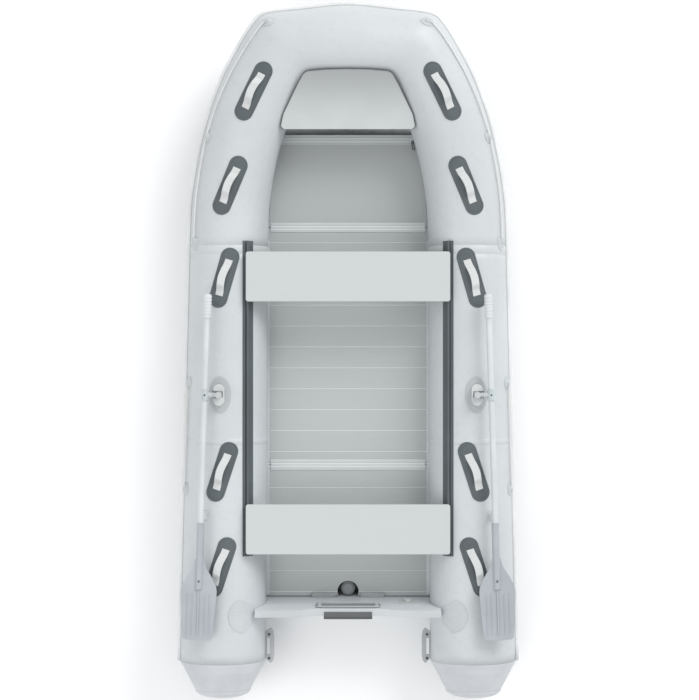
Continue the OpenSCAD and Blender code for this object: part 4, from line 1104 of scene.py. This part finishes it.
# carried-over nodes: eased edges and their finishes
easing = {
    "bow_floor_panel": 0.0012, "mid_floor_panel": 0.0008, "aft_floor_panel": 0.0008, "floor_joiners": 0.0006,
    "side_stringers": 0.0006, "floor_stops": 0.002, "transom_board": 0.002, "transom_cap": 0.0009,
    "motor_plate": 0.0016, "motor_pad": 0.003, "drain_fitting": 0.0008, "drain_plug": 0.0012,
    "keel_valve": 0.001,
    "keel_valve_cap": 0.0016, "tube_valves": 0.0008, "port_valve_cap": 0.0012, "starboard_valve_cap": 0.0012,
    "bow_valve_cap": 0.0012, "bench_rails": 0.0005, "fore_bench": 0.003, "aft_bench": 0.003,
    "fore_bench_sliders": 0.001, "aft_bench_sliders": 0.001, "bow_deck": 0.0016, "deck_trim": 0.0006,
    "oarlock_bases": 0.0022, "port_oarlock": 0.0012, "starboard_oarlock": 0.0012, "port_oar_grip": 0.0012,
    "starboard_oar_grip": 0.0012, "port_oar_collar": 0.0014, "starboard_oar_collar": 0.0014,
    "port_oar_blade": 0.0016, "starboard_oar_blade": 0.0016, "port_oar_shaft": 0.0003,
    "starboard_oar_shaft": 0.0003,
    "oar_clips": 0.001, "stern_handles": 0.003, "handle_screws": 0.0006, "tow_patch": 0.0008,
}


def easeEdges(node, width):
    weld = node.modifiers.new("weld", "WELD")
    weld.merge_threshold = 0.00002
    flat = node.modifiers.new("flats", "DECIMATE")
    flat.decimate_type = "DISSOLVE"
    flat.angle_limit = math.radians(0.6)
    bevel = node.modifiers.new("easedEdges", "BEVEL")
    bevel.width = width
    bevel.segments = 2
    bevel.limit_method = "ANGLE"
    bevel.angle_limit = math.radians(32)
    bevel.use_clamp_overlap = True
    level = node.modifiers.new("evenNormals", "WEIGHTED_NORMAL")
    level.keep_sharp = False


def dressNodes():
    for subpart in frame["record"]["subparts"]:
        node = cadNodes[subpart["node"]]
        for materialSlot in node.material_slots:
            materialSlot.material = finishes[subpart["material_slot"]]
        if subpart["node"] in easing:
            easeEdges(node, easing[subpart["node"]])


dressNodes()
print("carried-over nodes dressed")


# small parts on the oarlocks and the transom
trimmings = {
    "lock": (0.608, -0.196, 0.4433), "shadowReach": 0.028, "shadowHalf": 0.0130, "shadowWide": 0.0045,
    "collarScrew": (0.668, -0.198, 0.4803), "screwRadius": 0.0042, "screwHeight": 0.003,
    "padHalf": 0.113, "padFrom": -1.226, "padTo": -1.250, "padTop": 0.3470, "padThick": 0.0105,
    "frameHalf": 0.150, "rake": 8,
}


def slab(rows, low, high, lean=0.0):  # a box with eased top edges; lean moves its top aft
    (x0, y0, z0), (x1, y1, z1) = low, high
    ease = min(0.001, (z1 - z0) / 3, (x1 - x0) / 4, (y1 - y0) / 4)
    rings = []
    for inset, z in ((0.0, z0), (0.0, z1 - ease), (ease * 0.3, z1 - ease * 0.3), (ease, z1)):
        shift = -lean * (z - z0)
        corners = [(x0 + inset, y0 + inset), (x1 - inset, y0 + inset),
                   (x1 - inset, y1 - inset), (x0 + inset, y1 - inset)]
        rings.append([Vector((x, y + shift, z)) for x, y in corners])
    rows.grid(rings, around=True, capNear=True, capFar=True)


# dark strips on the lock block's top are painted shadow in the gap round the oarlock arm
def makeLockShadowStrips():
    shadowStrips = Rows()
    x, y, z = trimmings["lock"]
    reach, half, wide = trimmings["shadowReach"], trimmings["shadowHalf"], trimmings["shadowWide"]
    for side in (1, -1):
        spans = [((x, y + half - wide / 2), (x + reach, y + half + wide / 2)),
                 ((x + 0.010, y - half - wide / 2), (x + reach, y - half + wide / 2)),
                 ((x - 0.022, y + half - wide / 4), (x, y + half + wide / 4)),
                 ((x - 0.022, y - half), (x - 0.022 + wide * 0.7, y + half))]
        for (xa, ya), (xb, yb) in spans:
            low, high = sorted((side * xa, side * xb))
            slab(shadowStrips, (low, ya, z - 0.0006), (high, yb, z + 0.0012))
    settle(shadowStrips.piece("lockShadowStrips"), "trim_rubber")


def makeCollarScrews():
    x, y, z = trimmings["collarScrew"]
    for side in (1, -1):
        body = "starboard_oar" if side == 1 else "port_oar"
        stem = [[Vector((side * x, y, z)), Vector((side * x, y, z + 0.004))]]
        screws = runTree(("starboard" if side == 1 else "port") + "CollarScrew", stem, screwTree, {
            "Material": finishes["dark_screw"], "Radius": trimmings["screwRadius"],
            "Height": trimmings["screwHeight"]})
        settle(screws, "dark_screw", body=body)


def makeMotorTrim():
    lip = Rows()
    half = trimmings["padHalf"]
    slab(lip, (-half, trimmings["padTo"], trimmings["padTop"] - trimmings["padThick"]),
         (half, trimmings["padFrom"], trimmings["padTop"]))
    settle(lip.piece("motorPadLip"), "motor_pad_rubber")
    frame = Rows()
    reach = trimmings["frameHalf"]
    lean = math.tan(math.radians(trimmings["rake"]))
    for z, y in ((0.3300, -1.2010), (0.2700, -1.1925)):
        slab(frame, (-reach, y - 0.0015, z - 0.003), (reach, y + 0.0025, z + 0.003), lean)
    for side in (1, -1):
        for dy, z in ((0.0, 0.315), (0.0, 0.285)):
            rings = []
            foot = -1.1620 - z * lean + 0.0062
            for radius, out in ((0.010, 0.0), (0.010, 0.004), (0.008, 0.0055), (0.0035, 0.0055),
                                (0.003, 0.004), (0.0, 0.004)):
                rings.append([Vector((side * 0.135 + radius * math.cos(math.tau * j / 20), foot + out,
                                      z + radius * math.sin(math.tau * j / 20))) for j in range(20)])
            frame.grid(rings, around=True, capNear=True)
    settle(frame.piece("motorPlateTrim", weld=1e-5), "edge_plastic")


makeLockShadowStrips()
makeCollarScrews()
makeMotorTrim()
print("small parts made")


def makeFloor(settings):
    finish = Finish("studioFloor", 0.85)
    place = finish.place()
    broad = finish.cloud(place, 0.6, 2.0)
    pale = settings["floorColour"]
    finish.feed("Base Color", finish.blendColours(broad, tint(pale, 0.99), tint(pale, 1.01)))
    size = 30.0
    corners = [(-size, -size, 0), (size, -size, 0), (size, size, 0), (-size, size, 0)]
    floor = meshPiece("studioFloor", corners, [(0, 1, 2, 3)])
    floor.data.materials.append(finish.material)


makeFloor(studio)
